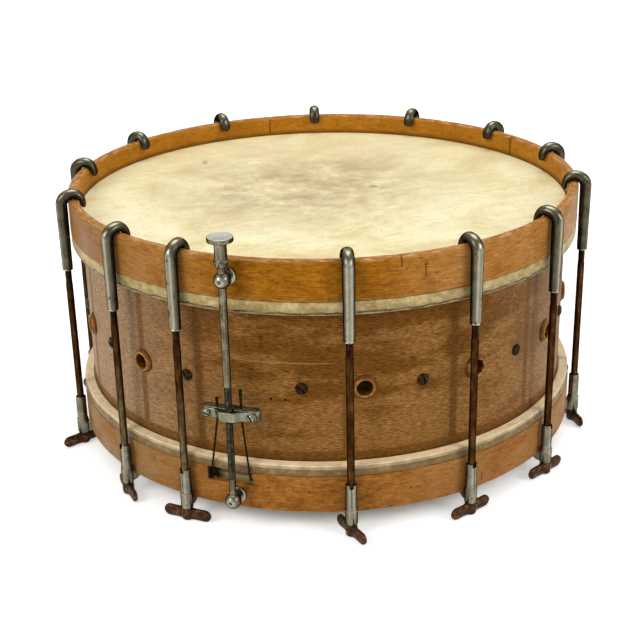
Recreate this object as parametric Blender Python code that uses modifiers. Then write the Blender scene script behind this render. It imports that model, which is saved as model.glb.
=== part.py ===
"""Antique single-tension snare drum, standing on the handles of its tuning rods.

The drum is a bent wooden shell with a calfskin head at each end. Each head is lapped round a
flesh hoop, and a wooden counterhoop presses on it. Hooks over the upper counterhoop and claws
under the lower one are drawn together by rods with a T handle, and the handles are the feet.
A strainer at the front left pulls one gut strand across the snare head.

Lengths are in metres, +Z is up, and the floor is z = 0. Angles go from the front (-Y) towards
the right (+X), so a piece's own -Y side faces outward once it is turned to its angle.
"""

import math

import bmesh
import bpy
from mathutils import Matrix, Vector

# Clearances
GAP = 0.0003
ROD_PLAY = 0.0005

# Facets
RING_STEPS = 48
TUBE_STEPS = 8
SMALL_STEPS = 10
SCREW_STEPS = 6
ROUND_END_STEPS = 4

# Shell
SHELL_RADIUS = 0.2032
SHELL_DEPTH = 0.1650
SHELL_WALL = 0.0055
BEARING_EDGE = 0.0013
GLUE_RING_WALL = 0.0065
GLUE_RING_HEIGHT = 0.0250
CENTRE_RING_WALL = 0.0060
CENTRE_RING_HEIGHT = 0.0250
FITTINGS_HEIGHT = 0.0810

# Heads and hoops
SKIN = 0.0006
BATTER_RECESS = 0.0174
SNARE_RECESS = 0.0172
COLLAR_EDGE = 0.0008
HOOP_WALL = 0.0081
BATTER_HOOP_HEIGHT = 0.0308
SNARE_HOOP_HEIGHT = 0.0302
HOOP_RIM_ROUND = 0.0030
HOOP_BACK_ROUND = 0.0012
BATTER_FLESH_HEIGHT = 0.0103
SNARE_FLESH_HEIGHT = 0.0088
FLESH_ROUND = 0.0009

# Fittings on the shell
FITTING_COUNT = 14
FITTING_PITCH = 360.0 / FITTING_COUNT
VENT_ANGLE = 7.8
VENT_MISSING = 13
VENT_BORE = 0.0055
VENT_SEAT = 0.0061
VENT_SINK = 0.0018
VENT_FLANGE = 0.0090
VENT_LIP_RADIUS = 0.0068
VENT_LIP_HEIGHT = 0.0034
VENT_RIM_HEIGHT = 0.0014
SHELL_SCREW_ANGLE = -5.2
SHELL_SCREW_HEAD = 0.0047
SHELL_SCREW_DOME = 0.0024
SCREW_SHANK = 0.0016
SHELL_SCREW_DEPTH = 0.0091
SCREW_CROWN_RADIUS = 0.6
SCREW_CROWN_HEIGHT = 0.85

# Tension rods
ROD_ANGLES = (4.4, 30.0, 54.0, 81.0, 105.6, 129.9, 155.1, 181.9, 207.6, 234.3, 260.1, 285.7, 312.7, 330.0)
ROD_STANDOFF = 0.0057
ROD_RADIUS = 0.0029
ROD_ENGAGEMENT = 0.0300
BOSS_RADIUS = 0.0045
BOSS_FOOT = 0.0037
BOSS_HEIGHT = 0.0100
BOSS_CHAMFER = 0.0010
HANDLE_REACH = 0.0200
HANDLE_HEIGHT = 0.0094
HANDLE_THICKNESS = 0.0042
HANDLE_YAWS = (-60.3, 39.6, 42.9, -74.9, 12.0, -48.0, 70.0, 57.0, -33.0, 58.0, -47.0, 41.3, -65.1, -23.2)

# Hooks
HOOK_RADIUS = 0.0047
HOOK_DROP = 0.0592
HOOK_TOP_RADIUS = 0.0041
HOOK_TIP_RADIUS = 0.0020
HOOK_POINT_RADIUS = 0.0016
HOOK_SHOULDER = 0.0040
HOOK_OUTER_REACH = 0.0092
HOOK_INNER_REACH = 0.0080
HOOK_TIP_DROP = 0.0030
HOOK_BEND_STEPS = 6

# Claws
CLAW_RADIUS = 0.0046
CLAW_LENGTH = 0.0335
LEDGE_RISE = 0.0060
LEDGE_THICKNESS = 0.0056
LEDGE_TIP = 0.0020
LEDGE_BACK_HEIGHT = 0.0105

# Strainer
STRAINER_ANGLE = -18.7
STRAINER_STANDOFF = 0.0107
POST_BALL = 0.00625
POST_STEM = 0.0026
POST_FLANGE = 0.0070
POST_FLANGE_THICKNESS = 0.0014
POST_SHANK = 0.0020
POST_NUT = 0.0040
POST_NUT_THICKNESS = 0.0016
UPPER_POST_DROP = 0.0130
LOWER_POST_RISE = 0.0115
STRAINER_ROD_RADIUS = 0.0029
STRAINER_ROD_NECK = 0.0022
FERRULE_RADIUS = 0.0025
FERRULE_LENGTH = 0.0125
KNOB_RADIUS = 0.0095
KNOB_DISC = 0.0035
KNOB_NECK_TOP = 0.0047
KNOB_NECK_BOTTOM = 0.0051
KNOB_NECK_LENGTH = 0.0125
KNOB_COLLAR = 0.0056
KNOB_COLLAR_HEIGHT = 0.0018
KNOB_TAPER_LENGTH = 0.0060
KNOB_TAPER_TOP = 0.0046
KNOB_TAPER_BOTTOM = 0.0032
KNOB_STAND = 0.0023
KNOB_BORE_DEPTH = 0.0150
BLOCK_DROP = 0.1180
BLOCK_HALF_LENGTH = 0.0225
BLOCK_HEIGHT = 0.0075
BLOCK_BACK = 0.0095
BLOCK_FRONT = 0.0016
STRAP_THICKNESS = 0.0020
STRAP_HALF_LENGTH = 0.0215
STRAP_BOW_HALF = 0.0044
STRAP_BOW_RUN = 0.0052
CLAMP_SCREW_OFFSET = 0.0175
CLAMP_SCREW_HEAD = 0.0033
CLAMP_SCREW_DOME = 0.0020
CLAMP_SCREW_SHANK = 0.0015
CLAMP_SCREW_LENGTH = 0.0060

# Snare gates in the lower counterhoop
GATE_ANGLE = -20.3
GATE_HALF_WIDTH = 0.0178
GATE_DEPTH = 0.0105
BUTT_ANGLE = 163.0
BUTT_GATE_HALF_WIDTH = 0.0080
RELIEF_WALL = 0.0049
RELIEF_UNDER_HEAD = 0.0026

# Butt strap, which holds the strand's loop on the far side
BUTT_HALF_LENGTH = 0.0140
BUTT_HEIGHT = 0.0080
BUTT_THICKNESS = 0.0014
BUTT_BOW_HALF = 0.0076
BUTT_BOW_RUN = 0.0014
BUTT_RISE = 0.0110
BUTT_SCREW_OFFSET = 0.0118
BUTT_SCREW_DEPTH = 0.0060

# Gut strand
STRAND_RADIUS = 0.00075
STRAND_PLAY = 0.0004
STRAND_LEFT = -0.0115
STRAND_RIGHT = 0.0075
STRAND_BACK = 0.0055
STRAND_LEFT_STUB = 0.0060
STRAND_RIGHT_STUB = 0.0150
STRAND_LEFT_GATE_ANGLE = -24.2
STRAND_RIGHT_GATE_ANGLE = -16.0
STRAND_BUTT_SPREAD = 1.5

# Radii that follow
COLLAR_RADIUS = SHELL_RADIUS + GAP + SKIN
HOOP_INNER = COLLAR_RADIUS + GAP
HOOP_INNER_FLAT = HOOP_INNER * math.cos(math.pi / RING_STEPS)
HOOP_OUTER = HOOP_INNER + HOOP_WALL
ROD_CIRCLE = HOOP_OUTER + ROD_STANDOFF
STRAINER_CIRCLE = HOOP_OUTER + STRAINER_STANDOFF
FLESH_WRAP_OUTER = HOOP_OUTER - GAP

# Heights that follow, from the floor up
CLAW_BOTTOM = BOSS_HEIGHT + GAP
SNARE_HOOP_BOTTOM = CLAW_BOTTOM + LEDGE_RISE + GAP
SNARE_HOOP_TOP = SNARE_HOOP_BOTTOM + SNARE_HOOP_HEIGHT
SNARE_FLESH_BOTTOM = SNARE_HOOP_TOP + GAP
SNARE_FLESH_TOP = SNARE_FLESH_BOTTOM + SNARE_FLESH_HEIGHT
SNARE_SKIN_FACE = SNARE_HOOP_BOTTOM + SNARE_RECESS
SHELL_BOTTOM = SNARE_SKIN_FACE + SKIN + GAP
SHELL_TOP = SHELL_BOTTOM + SHELL_DEPTH
BATTER_SKIN_FACE = SHELL_TOP + GAP + SKIN
RIM = BATTER_SKIN_FACE + BATTER_RECESS
BATTER_HOOP_BOTTOM = RIM - BATTER_HOOP_HEIGHT
BATTER_FLESH_TOP = BATTER_HOOP_BOTTOM - GAP
BATTER_FLESH_BOTTOM = BATTER_FLESH_TOP - BATTER_FLESH_HEIGHT
FITTINGS_LEVEL = SHELL_BOTTOM + FITTINGS_HEIGHT
HOOK_END = RIM - HOOK_DROP
ROD_TOP = HOOK_END + ROD_ENGAGEMENT
UPPER_POST_LEVEL = RIM - UPPER_POST_DROP
LOWER_POST_LEVEL = SNARE_HOOP_BOTTOM + LOWER_POST_RISE
BLOCK_LEVEL = RIM - BLOCK_DROP
GATE_FLOOR = SNARE_HOOP_TOP - GATE_DEPTH
BUTT_LEVEL = SNARE_HOOP_BOTTOM + BUTT_RISE

SMOOTH_ANGLE = math.radians(40.0)
MERGE = 0.00001


def clear_scene():
    """Removes what the startup scene holds."""
    for thing in list(bpy.data.objects):
        bpy.data.objects.remove(thing, do_unlink=True)


def new_collection(name, hidden=False):
    """A collection in the scene, left out of renders when it holds cutters."""
    made = bpy.data.collections.new(name)
    made.hide_render = hidden
    bpy.context.scene.collection.children.link(made)
    return made


def new_material(name, colour, roughness, metallic=0.0):
    """A Principled material from a linear colour."""
    made = bpy.data.materials.new(name)
    made.use_nodes = True
    shader = made.node_tree.nodes["Principled BSDF"]
    shader.inputs["Base Color"].default_value = (*colour, 1.0)
    shader.inputs["Roughness"].default_value = roughness
    shader.inputs["Metallic"].default_value = metallic
    return made


def turn_to(angle, radius=0.0, height=0.0):
    """The place at an angle round the drum, with local -Y outward and local +X to the right."""
    turn = Matrix.Rotation(math.radians(angle), 4, "Z")
    return turn @ Matrix.Translation((0.0, -radius, height))


def outward(angle, radius, height):
    """The same place for a turned piece whose own +Z points outward."""
    return turn_to(angle, radius, height) @ Matrix.Rotation(math.radians(90.0), 4, "X")


def spot(angle, radius, height):
    """A point at an angle round the drum."""
    bearing = math.radians(angle)
    return Vector((radius * math.sin(bearing), -radius * math.cos(bearing), height))


class Workshop:
    """Makes objects and keeps the parts apart from the shapes that only cut or join them."""

    def __init__(self):
        self.parts = new_collection("Snare drum")
        self.shapes = new_collection("Cutters", hidden=True)

    def _link(self, name, data, matrix=None):
        made = bpy.data.objects.new(name, data)
        self.shapes.objects.link(made)
        made.hide_render = True
        made.display_type = "WIRE"
        if matrix is not None:
            made.matrix_world = matrix
        return made

    def publish(self, made, finish):
        """Makes a shape one of the drum's parts, with its material."""
        self.shapes.objects.unlink(made)
        self.parts.objects.link(made)
        made.hide_render = False
        made.display_type = "TEXTURED"
        made.data.materials.clear()
        made.data.materials.append(finish)
        return made

    def settle(self, made):
        """Gives the object the mesh that its curve or modifiers evaluate to."""
        graph = bpy.context.evaluated_depsgraph_get()
        mesh = bpy.data.meshes.new_from_object(made.evaluated_get(graph), depsgraph=graph)
        mesh.name = made.name
        work = bmesh.new()
        work.from_mesh(mesh)
        bmesh.ops.remove_doubles(work, verts=work.verts, dist=MERGE)
        work.to_mesh(mesh)
        work.free()
        mesh.shade_smooth()
        mesh.set_sharp_from_angle(angle=SMOOTH_ANGLE)
        place = made.matrix_world.copy()
        name = made.name
        bpy.data.objects.remove(made, do_unlink=True)
        return self._link(name, mesh, place)

    def turned(self, name, profile, steps, matrix=None, closed=False):
        """A turned solid from (radius, height) points that run down its outer side."""
        count = len(profile)
        edges = [(i, i + 1) for i in range(count - 1)]
        if closed:
            edges.append((count - 1, 0))
        mesh = bpy.data.meshes.new(name)
        mesh.from_pydata([(radius, 0.0, height) for radius, height in profile], edges, [])
        made = self._link(name, mesh, matrix)
        screw = made.modifiers.new("Screw", "SCREW")
        screw.steps = steps
        screw.render_steps = steps
        screw.use_merge_vertices = True
        screw.merge_threshold = MERGE
        return self.settle(made)

    def slab(self, name, outline, thickness, matrix=None):
        """A flat outline in local XY with its thickness centred on local Z."""
        curve = bpy.data.curves.new(name, "CURVE")
        curve.dimensions = "2D"
        curve.fill_mode = "BOTH"
        curve.extrude = thickness / 2
        spline = curve.splines.new("POLY")
        spline.points.add(len(outline) - 1)
        for point, (x, y) in zip(spline.points, outline):
            point.co = (x, y, 0.0, 1.0)
        spline.use_cyclic_u = True
        return self.settle(self._link(name, curve, matrix))

    def tube(self, name, points, radii, matrix=None):
        """A round bar along points, with a radius at each of them."""
        curve = bpy.data.curves.new(name, "CURVE")
        curve.dimensions = "3D"
        curve.bevel_depth = 1.0
        curve.bevel_resolution = 2
        curve.use_fill_caps = True
        spline = curve.splines.new("POLY")
        spline.points.add(len(points) - 1)
        for point, place, radius in zip(spline.points, points, radii):
            point.co = (*place, 1.0)
            point.radius = radius
        return self.settle(self._link(name, curve, matrix))

    def rod(self, name, radius, low, high, steps, matrix=None):
        """A plain cylinder between two heights on its own axis."""
        profile = [(0.0, high), (radius, high), (radius, low), (0.0, low)]
        return self.turned(name, profile, steps, matrix)

    def combine(self, made, others, operation):
        """Joins other shapes to one, or cuts them from it."""
        for other in others:
            step = made.modifiers.new(f"{operation.title()} {other.name}", "BOOLEAN")
            step.operation = operation
            step.solver = "EXACT"
            step.object = other
        return self.settle(made)

    def gather(self, name, shapes):
        """Puts shapes that stay clear of each other into one mesh."""
        work = bmesh.new()
        for shape in shapes:
            start = len(work.verts)
            work.from_mesh(shape.data)
            work.verts.ensure_lookup_table()
            bmesh.ops.transform(work, matrix=shape.matrix_world, verts=work.verts[start:])
            bpy.data.objects.remove(shape, do_unlink=True)
        mesh = bpy.data.meshes.new(name)
        work.to_mesh(mesh)
        work.free()
        return self._link(name, mesh)

    def copies(self, made, stem, places, finish):
        """Repeats a finished shape as numbered parts that share its mesh."""
        self.publish(made, finish)
        made.name = f"{stem}_01"
        made.matrix_world = places[0]
        for number, place in enumerate(places[1:], start=2):
            copy = bpy.data.objects.new(f"{stem}_{number:02d}", made.data)
            self.parts.objects.link(copy)
            copy.matrix_world = place


def ring_outline(inner, outer, low, high, top_round=0.0, low_round=0.0):
    """A ring's section, clockwise from its top inner corner, with its corners cut."""
    points = [(inner + top_round, high), (outer - top_round, high)]
    if top_round:
        points.append((outer, high - top_round))
    points.append((outer, low + low_round))
    if low_round:
        points += [(outer - low_round, low), (inner + low_round, low)]
    points.append((inner, low + low_round))
    if top_round:
        points.append((inner, high - top_round))
    return points


def arc(centre, radius, start, end, steps):
    """Points of an arc in a plane, with its angles in degrees."""
    points = []
    for step in range(steps + 1):
        angle = math.radians(start + (end - start) * step / steps)
        points.append((centre[0] + radius * math.cos(angle), centre[1] + radius * math.sin(angle)))
    return points


def stadium(half_length, half_height, steps=ROUND_END_STEPS):
    """A long outline with full round ends."""
    centre = half_length - half_height
    return arc((centre, 0.0), half_height, -90, 90, steps) + arc((-centre, 0.0), half_height, 90, 270, steps)


def bowed_outline(half_length, bow_half, bow_run, bow_height, back, thickness):
    """A strap's outline from above: two flat ends on their seat and a bow that stands outward."""
    slope = math.hypot(bow_run, bow_height)
    shift = thickness * (slope - bow_height) / bow_run if bow_run else 0.0
    seat = -back
    crest = -back - bow_height
    inner = [
        (-half_length, seat),
        (-bow_half - bow_run, seat),
        (-bow_half, crest),
        (bow_half, crest),
        (bow_half + bow_run, seat),
        (half_length, seat),
    ]
    outer = [
        (half_length, seat - thickness),
        (bow_half + bow_run + shift, seat - thickness),
        (bow_half + shift, crest - thickness),
        (-bow_half - shift, crest - thickness),
        (-bow_half - bow_run - shift, seat - thickness),
        (-half_length, seat - thickness),
    ]
    return inner + outer


def screw_outline(head, dome, shank, seat, tip):
    """A round-head screw from its crown down to its tip."""
    return [
        (0.0, seat + dome),
        (head * SCREW_CROWN_RADIUS, seat + dome * SCREW_CROWN_HEIGHT),
        (head, seat),
        (shank, seat),
        (shank, tip),
        (0.0, tip),
    ]


def rounded_route(points, share=0.3):
    """A route with each of its corners cut."""
    route = [points[0]]
    for before, corner, after in zip(points, points[1:], points[2:]):
        reach = share * min((corner - before).length, (after - corner).length)
        route.append(corner + (before - corner).normalized() * reach)
        route.append(corner + (after - corner).normalized() * reach)
    route.append(points[-1])
    return route


def fitting_angles(first, missing=None):
    """The angles of a ring of fittings, with one left out if a number is given."""
    return [first + FITTING_PITCH * k for k in range(FITTING_COUNT) if k != missing]


def make_shell(shop, wood):
    """The bent shell with a glue ring inside each edge and a turned bush in each vent."""
    inner = SHELL_RADIUS - SHELL_WALL
    ring_inner = inner - GLUE_RING_WALL
    high, low = SHELL_TOP, SHELL_BOTTOM
    edge = BEARING_EDGE
    profile = [
        (ring_inner, high - edge),
        (SHELL_RADIUS - edge, high),
        (SHELL_RADIUS, high - edge),
        (SHELL_RADIUS, low + edge),
        (SHELL_RADIUS - edge, low),
        (ring_inner, low + edge),
        (ring_inner, low + GLUE_RING_HEIGHT),
        (inner, low + GLUE_RING_HEIGHT),
        (inner, high - GLUE_RING_HEIGHT),
        (ring_inner, high - GLUE_RING_HEIGHT),
    ]
    shell = shop.turned("shell", profile, RING_STEPS, closed=True)
    past = SHELL_WALL + VENT_LIP_HEIGHT
    holes = []
    bushes = []
    bush = [
        (VENT_BORE, VENT_RIM_HEIGHT),
        (VENT_LIP_RADIUS, VENT_LIP_HEIGHT),
        (VENT_FLANGE, VENT_RIM_HEIGHT),
        (VENT_FLANGE, -VENT_SINK),
        (VENT_BORE, -VENT_SINK),
    ]
    for angle in fitting_angles(VENT_ANGLE, VENT_MISSING):
        place = outward(angle, SHELL_RADIUS, FITTINGS_LEVEL)
        holes.append(shop.rod("vent_hole", VENT_SEAT, -past, past, SMALL_STEPS, place))
        bushes.append(shop.turned("vent_bush", bush, SMALL_STEPS, place, closed=True))
    for angle in fitting_angles(SHELL_SCREW_ANGLE):
        place = outward(angle, SHELL_RADIUS, FITTINGS_LEVEL)
        holes.append(shop.rod("screw_hole", SCREW_SHANK + GAP + GAP, -past, past, SCREW_STEPS, place))
    shell = shop.combine(shell, [shop.gather("shell_holes", holes)], "DIFFERENCE")
    shell = shop.combine(shell, [shop.gather("vent_bushes", bushes)], "UNION")
    shop.publish(shell, wood)


def make_centre_ring(shop, steel):
    """The ring inside the shell at mid height, with the round-head screws that hold it."""
    outer = SHELL_RADIUS - SHELL_WALL - GAP
    half = CENTRE_RING_HEIGHT / 2
    section = ring_outline(outer - CENTRE_RING_WALL, outer, FITTINGS_LEVEL - half, FITTINGS_LEVEL + half)
    ring = shop.turned("centre_ring", section, RING_STEPS, closed=True)
    past = SHELL_WALL + CENTRE_RING_WALL + CENTRE_RING_WALL
    holes = []
    for angle in fitting_angles(VENT_ANGLE, VENT_MISSING):
        place = outward(angle, SHELL_RADIUS, FITTINGS_LEVEL)
        holes.append(shop.rod("ring_hole", VENT_FLANGE, -past, 0.0, TUBE_STEPS, place))
    ring = shop.combine(ring, [shop.gather("ring_holes", holes)], "DIFFERENCE")
    screw = screw_outline(SHELL_SCREW_HEAD, SHELL_SCREW_DOME, SCREW_SHANK, GAP, -SHELL_SCREW_DEPTH)
    screws = []
    for angle in fitting_angles(SHELL_SCREW_ANGLE):
        place = outward(angle, SHELL_RADIUS, FITTINGS_LEVEL)
        screws.append(shop.turned("shell_screw", screw, SCREW_STEPS, place))
    ring = shop.combine(ring, [shop.gather("shell_screws", screws)], "UNION")
    shop.publish(ring, steel)


def gate_cutter(shop, name, angle, half_width):
    """The notch that lets the strand under the head: open at the hoop's top, relieved inside."""
    past = HOOP_WALL
    relief = HOOP_OUTER - RELIEF_WALL
    relief_low = SNARE_SKIN_FACE - RELIEF_UNDER_HEAD
    outline = [
        (HOOP_INNER - past, SNARE_HOOP_TOP + past),
        (HOOP_INNER - past, relief_low),
        (relief, relief_low),
        (relief, GATE_FLOOR),
        (HOOP_OUTER + past, GATE_FLOOR),
        (HOOP_OUTER + past, SNARE_HOOP_TOP + past),
    ]
    stand = Matrix(((0, 0, 1, 0), (-1, 0, 0, 0), (0, 1, 0, 0), (0, 0, 0, 1)))
    return shop.slab(name, outline, 2 * half_width, turn_to(angle) @ stand)


def screw_hole(shop, name, angle, height, radius):
    """A hole right through a counterhoop's wall."""
    place = outward(angle, HOOP_OUTER, height)
    return shop.rod(name, radius + GAP + GAP, -HOOP_WALL - HOOP_WALL, HOOP_WALL, TUBE_STEPS, place)


def butt_screw_angles():
    """The angles of the two screws that hold the butt strap."""
    turn = math.degrees(BUTT_SCREW_OFFSET / HOOP_OUTER)
    return BUTT_ANGLE - turn, BUTT_ANGLE + turn


def make_hoops(shop, wood):
    """The two counterhoops. The lower one has the snare gates."""
    section = ring_outline(
        HOOP_INNER, HOOP_OUTER, BATTER_HOOP_BOTTOM, RIM, HOOP_RIM_ROUND, HOOP_BACK_ROUND
    )
    batter = shop.turned("batter_hoop", section, RING_STEPS, closed=True)
    cut = screw_hole(shop, "upper_post_hole", STRAINER_ANGLE, UPPER_POST_LEVEL, POST_SHANK)
    shop.publish(shop.combine(batter, [cut], "DIFFERENCE"), wood)
    section = ring_outline(
        HOOP_INNER, HOOP_OUTER, SNARE_HOOP_BOTTOM, SNARE_HOOP_TOP, HOOP_BACK_ROUND, HOOP_BACK_ROUND
    )
    snare = shop.turned("snare_hoop", section, RING_STEPS, closed=True)
    cuts = [
        gate_cutter(shop, "strainer_gate", GATE_ANGLE, GATE_HALF_WIDTH),
        gate_cutter(shop, "butt_gate", BUTT_ANGLE, BUTT_GATE_HALF_WIDTH),
        screw_hole(shop, "lower_post_hole", STRAINER_ANGLE, LOWER_POST_LEVEL, POST_SHANK),
    ]
    for angle in butt_screw_angles():
        cuts.append(screw_hole(shop, "butt_screw_hole", angle, BUTT_LEVEL, SCREW_SHANK))
    shop.publish(shop.combine(snare, cuts, "DIFFERENCE"), wood)


def skin_outline(face, flesh_near, flesh_far):
    """A head's section from its centre: across the shell, down its side and round the flesh hoop."""
    side = math.copysign(1.0, face - flesh_near)
    inner = SHELL_RADIUS + GAP
    wrap = FLESH_WRAP_OUTER
    lap = COLLAR_RADIUS + GAP
    return [
        (0.0, face),
        (COLLAR_RADIUS - COLLAR_EDGE, face),
        (COLLAR_RADIUS, face - side * COLLAR_EDGE),
        (COLLAR_RADIUS, flesh_near),
        (wrap - FLESH_ROUND, flesh_near),
        (wrap, flesh_near - side * FLESH_ROUND),
        (wrap, flesh_far),
        (lap, flesh_far),
        (lap, flesh_far + side * SKIN),
        (wrap - SKIN, flesh_far + side * SKIN),
        (wrap - SKIN, flesh_near - side * SKIN),
        (inner, flesh_near - side * SKIN),
        (inner, face - side * SKIN),
        (0.0, face - side * SKIN),
    ]


def make_heads(shop, calfskin, wood):
    """Each calfskin head with the wooden flesh hoop that it is lapped round."""
    ends = (
        ("batter", BATTER_SKIN_FACE, BATTER_FLESH_TOP, BATTER_FLESH_BOTTOM),
        ("snare", SNARE_SKIN_FACE, SNARE_FLESH_BOTTOM, SNARE_FLESH_TOP),
    )
    for name, face, near, far in ends:
        outline = skin_outline(face, near, far)
        if face < near:
            outline.reverse()
        head = shop.turned(f"{name}_head", outline, RING_STEPS)
        shop.publish(head, calfskin)
        low, high = sorted((near, far))
        lining = SKIN + GAP
        section = ring_outline(
            SHELL_RADIUS + GAP, FLESH_WRAP_OUTER - lining, low + lining, high - lining
        )
        flesh = shop.turned(f"{name}_flesh_hoop", section, RING_STEPS, closed=True)
        shop.publish(flesh, wood)


def hook_path():
    """The hook's centre line and radii: up the drum's side, over the rim and down inside."""
    points = [(0.0, 0.0, HOOK_END)]
    radii = [HOOK_RADIUS]
    base = RIM - HOOK_SHOULDER
    rise = HOOK_SHOULDER + HOOK_TOP_RADIUS + GAP
    for step in range(HOOK_BEND_STEPS + 1):
        share = step / HOOK_BEND_STEPS
        turn = math.pi * share
        reach = HOOK_OUTER_REACH if share <= 0.5 else HOOK_INNER_REACH
        points.append((0.0, HOOK_OUTER_REACH - reach * math.cos(turn), base + rise * math.sin(turn)))
        if share <= 0.5:
            radii.append(HOOK_RADIUS + (HOOK_TOP_RADIUS - HOOK_RADIUS) * share * 2)
        else:
            radii.append(HOOK_TOP_RADIUS + (HOOK_TIP_RADIUS - HOOK_TOP_RADIUS) * (share - 0.5) * 2)
    points.append((0.0, HOOK_OUTER_REACH + HOOK_INNER_REACH, base - HOOK_TIP_DROP))
    radii.append(HOOK_POINT_RADIUS)
    return points, radii


def make_hooks(shop, nickel):
    """The hooks, each a bent bar with a threaded bore that its rod screws into."""
    points, radii = hook_path()
    hook = shop.tube("hook", points, radii)
    depth = ROD_ENGAGEMENT + ROD_RADIUS
    bore = shop.rod(
        "hook_bore", ROD_RADIUS + ROD_PLAY, HOOK_END - depth, HOOK_END + depth, TUBE_STEPS
    )
    hook = shop.combine(hook, [bore], "DIFFERENCE")
    places = [turn_to(angle, ROD_CIRCLE) for angle in ROD_ANGLES]
    shop.copies(hook, "hook", places, nickel)


def make_claws(shop, nickel):
    """The claws, each a sleeve with a ledge that bears under the lower counterhoop."""
    top = CLAW_BOTTOM + CLAW_LENGTH
    sleeve = shop.rod("claw", CLAW_RADIUS, CLAW_BOTTOM, top, TUBE_STEPS)
    face = ROD_CIRCLE - HOOP_OUTER - GAP
    bearing = SNARE_HOOP_BOTTOM - GAP
    tip = ROD_CIRCLE - HOOP_INNER
    overlap = CLAW_RADIUS / 2
    outline = [
        (overlap, CLAW_BOTTOM + LEDGE_BACK_HEIGHT),
        (face, CLAW_BOTTOM + LEDGE_BACK_HEIGHT - GAP),
        (face, bearing),
        (tip, bearing),
        (tip, bearing - LEDGE_TIP),
        (CLAW_RADIUS + LEDGE_TIP, CLAW_BOTTOM),
        (overlap, CLAW_BOTTOM),
    ]
    stand = Matrix(((0, 0, 1, 0), (1, 0, 0, 0), (0, 1, 0, 0), (0, 0, 0, 1)))
    ledge = shop.slab("claw_ledge", outline, LEDGE_THICKNESS, stand)
    claw = shop.combine(sleeve, [ledge], "UNION")
    past = CLAW_RADIUS
    bore = shop.rod("claw_bore", ROD_RADIUS + ROD_PLAY, CLAW_BOTTOM - past, top + past, TUBE_STEPS)
    claw = shop.combine(claw, [bore], "DIFFERENCE")
    places = [turn_to(angle, ROD_CIRCLE) for angle in ROD_ANGLES]
    shop.copies(claw, "claw", places, nickel)


def make_rods(shop, steel):
    """The tension rods, each with the T handle that the drum stands on."""
    profile = [
        (0.0, ROD_TOP),
        (ROD_RADIUS, ROD_TOP),
        (ROD_RADIUS, BOSS_HEIGHT),
        (BOSS_RADIUS, BOSS_HEIGHT),
        (BOSS_RADIUS, BOSS_CHAMFER),
        (BOSS_FOOT, 0.0),
        (0.0, 0.0),
    ]
    rod = shop.turned("rod", profile, TUBE_STEPS)
    half = HANDLE_HEIGHT / 2
    outline = [(x, y + half) for x, y in stadium(HANDLE_REACH, half)]
    stand = Matrix.Rotation(math.radians(90.0), 4, "X")
    handle = shop.slab("handle", outline, HANDLE_THICKNESS, stand)
    rod = shop.combine(rod, [handle], "UNION")
    places = []
    for angle, yaw in zip(ROD_ANGLES, HANDLE_YAWS):
        centre = Matrix.Translation(spot(angle, ROD_CIRCLE, 0.0))
        places.append(centre @ Matrix.Rotation(math.radians(yaw), 4, "Z"))
    shop.copies(rod, "rod", places, steel)


def post_outline():
    """A strainer post from its ball inward: stem, flange on the hoop, shank and nut inside."""
    flange_back = GAP - STRAINER_STANDOFF
    nut_front = HOOP_INNER_FLAT - GAP - STRAINER_CIRCLE
    ball = arc((0.0, 0.0), POST_BALL, 90, -60, 5)
    return ball + [
        (POST_STEM, -POST_BALL),
        (POST_STEM, flange_back + POST_FLANGE_THICKNESS),
        (POST_FLANGE, flange_back + POST_FLANGE_THICKNESS),
        (POST_FLANGE, flange_back),
        (POST_SHANK, flange_back),
        (POST_SHANK, nut_front),
        (POST_NUT, nut_front),
        (POST_NUT, nut_front - POST_NUT_THICKNESS),
        (0.0, nut_front - POST_NUT_THICKNESS),
    ]


def make_strainer_posts(shop, nickel):
    """The two ball-ended posts that carry the strainer's rod."""
    bore_radius = STRAINER_ROD_RADIUS + ROD_PLAY
    upper = shop.turned(
        "strainer_upper_post",
        post_outline(),
        SMALL_STEPS,
        outward(STRAINER_ANGLE, STRAINER_CIRCLE, UPPER_POST_LEVEL),
    )
    centre = turn_to(STRAINER_ANGLE, STRAINER_CIRCLE, UPPER_POST_LEVEL)
    reach = 2 * POST_BALL
    through = shop.rod("upper_post_bore", bore_radius, -reach, reach, TUBE_STEPS, centre)
    shop.publish(shop.combine(upper, [through], "DIFFERENCE"), nickel)
    lower = shop.turned(
        "strainer_lower_post",
        post_outline(),
        SMALL_STEPS,
        outward(STRAINER_ANGLE, STRAINER_CIRCLE, LOWER_POST_LEVEL),
    )
    centre = turn_to(STRAINER_ANGLE, STRAINER_CIRCLE, LOWER_POST_LEVEL)
    blind = shop.rod("lower_post_bore", bore_radius, 0.0, reach, TUBE_STEPS, centre)
    shop.publish(shop.combine(lower, [blind], "DIFFERENCE"), nickel)


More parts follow.
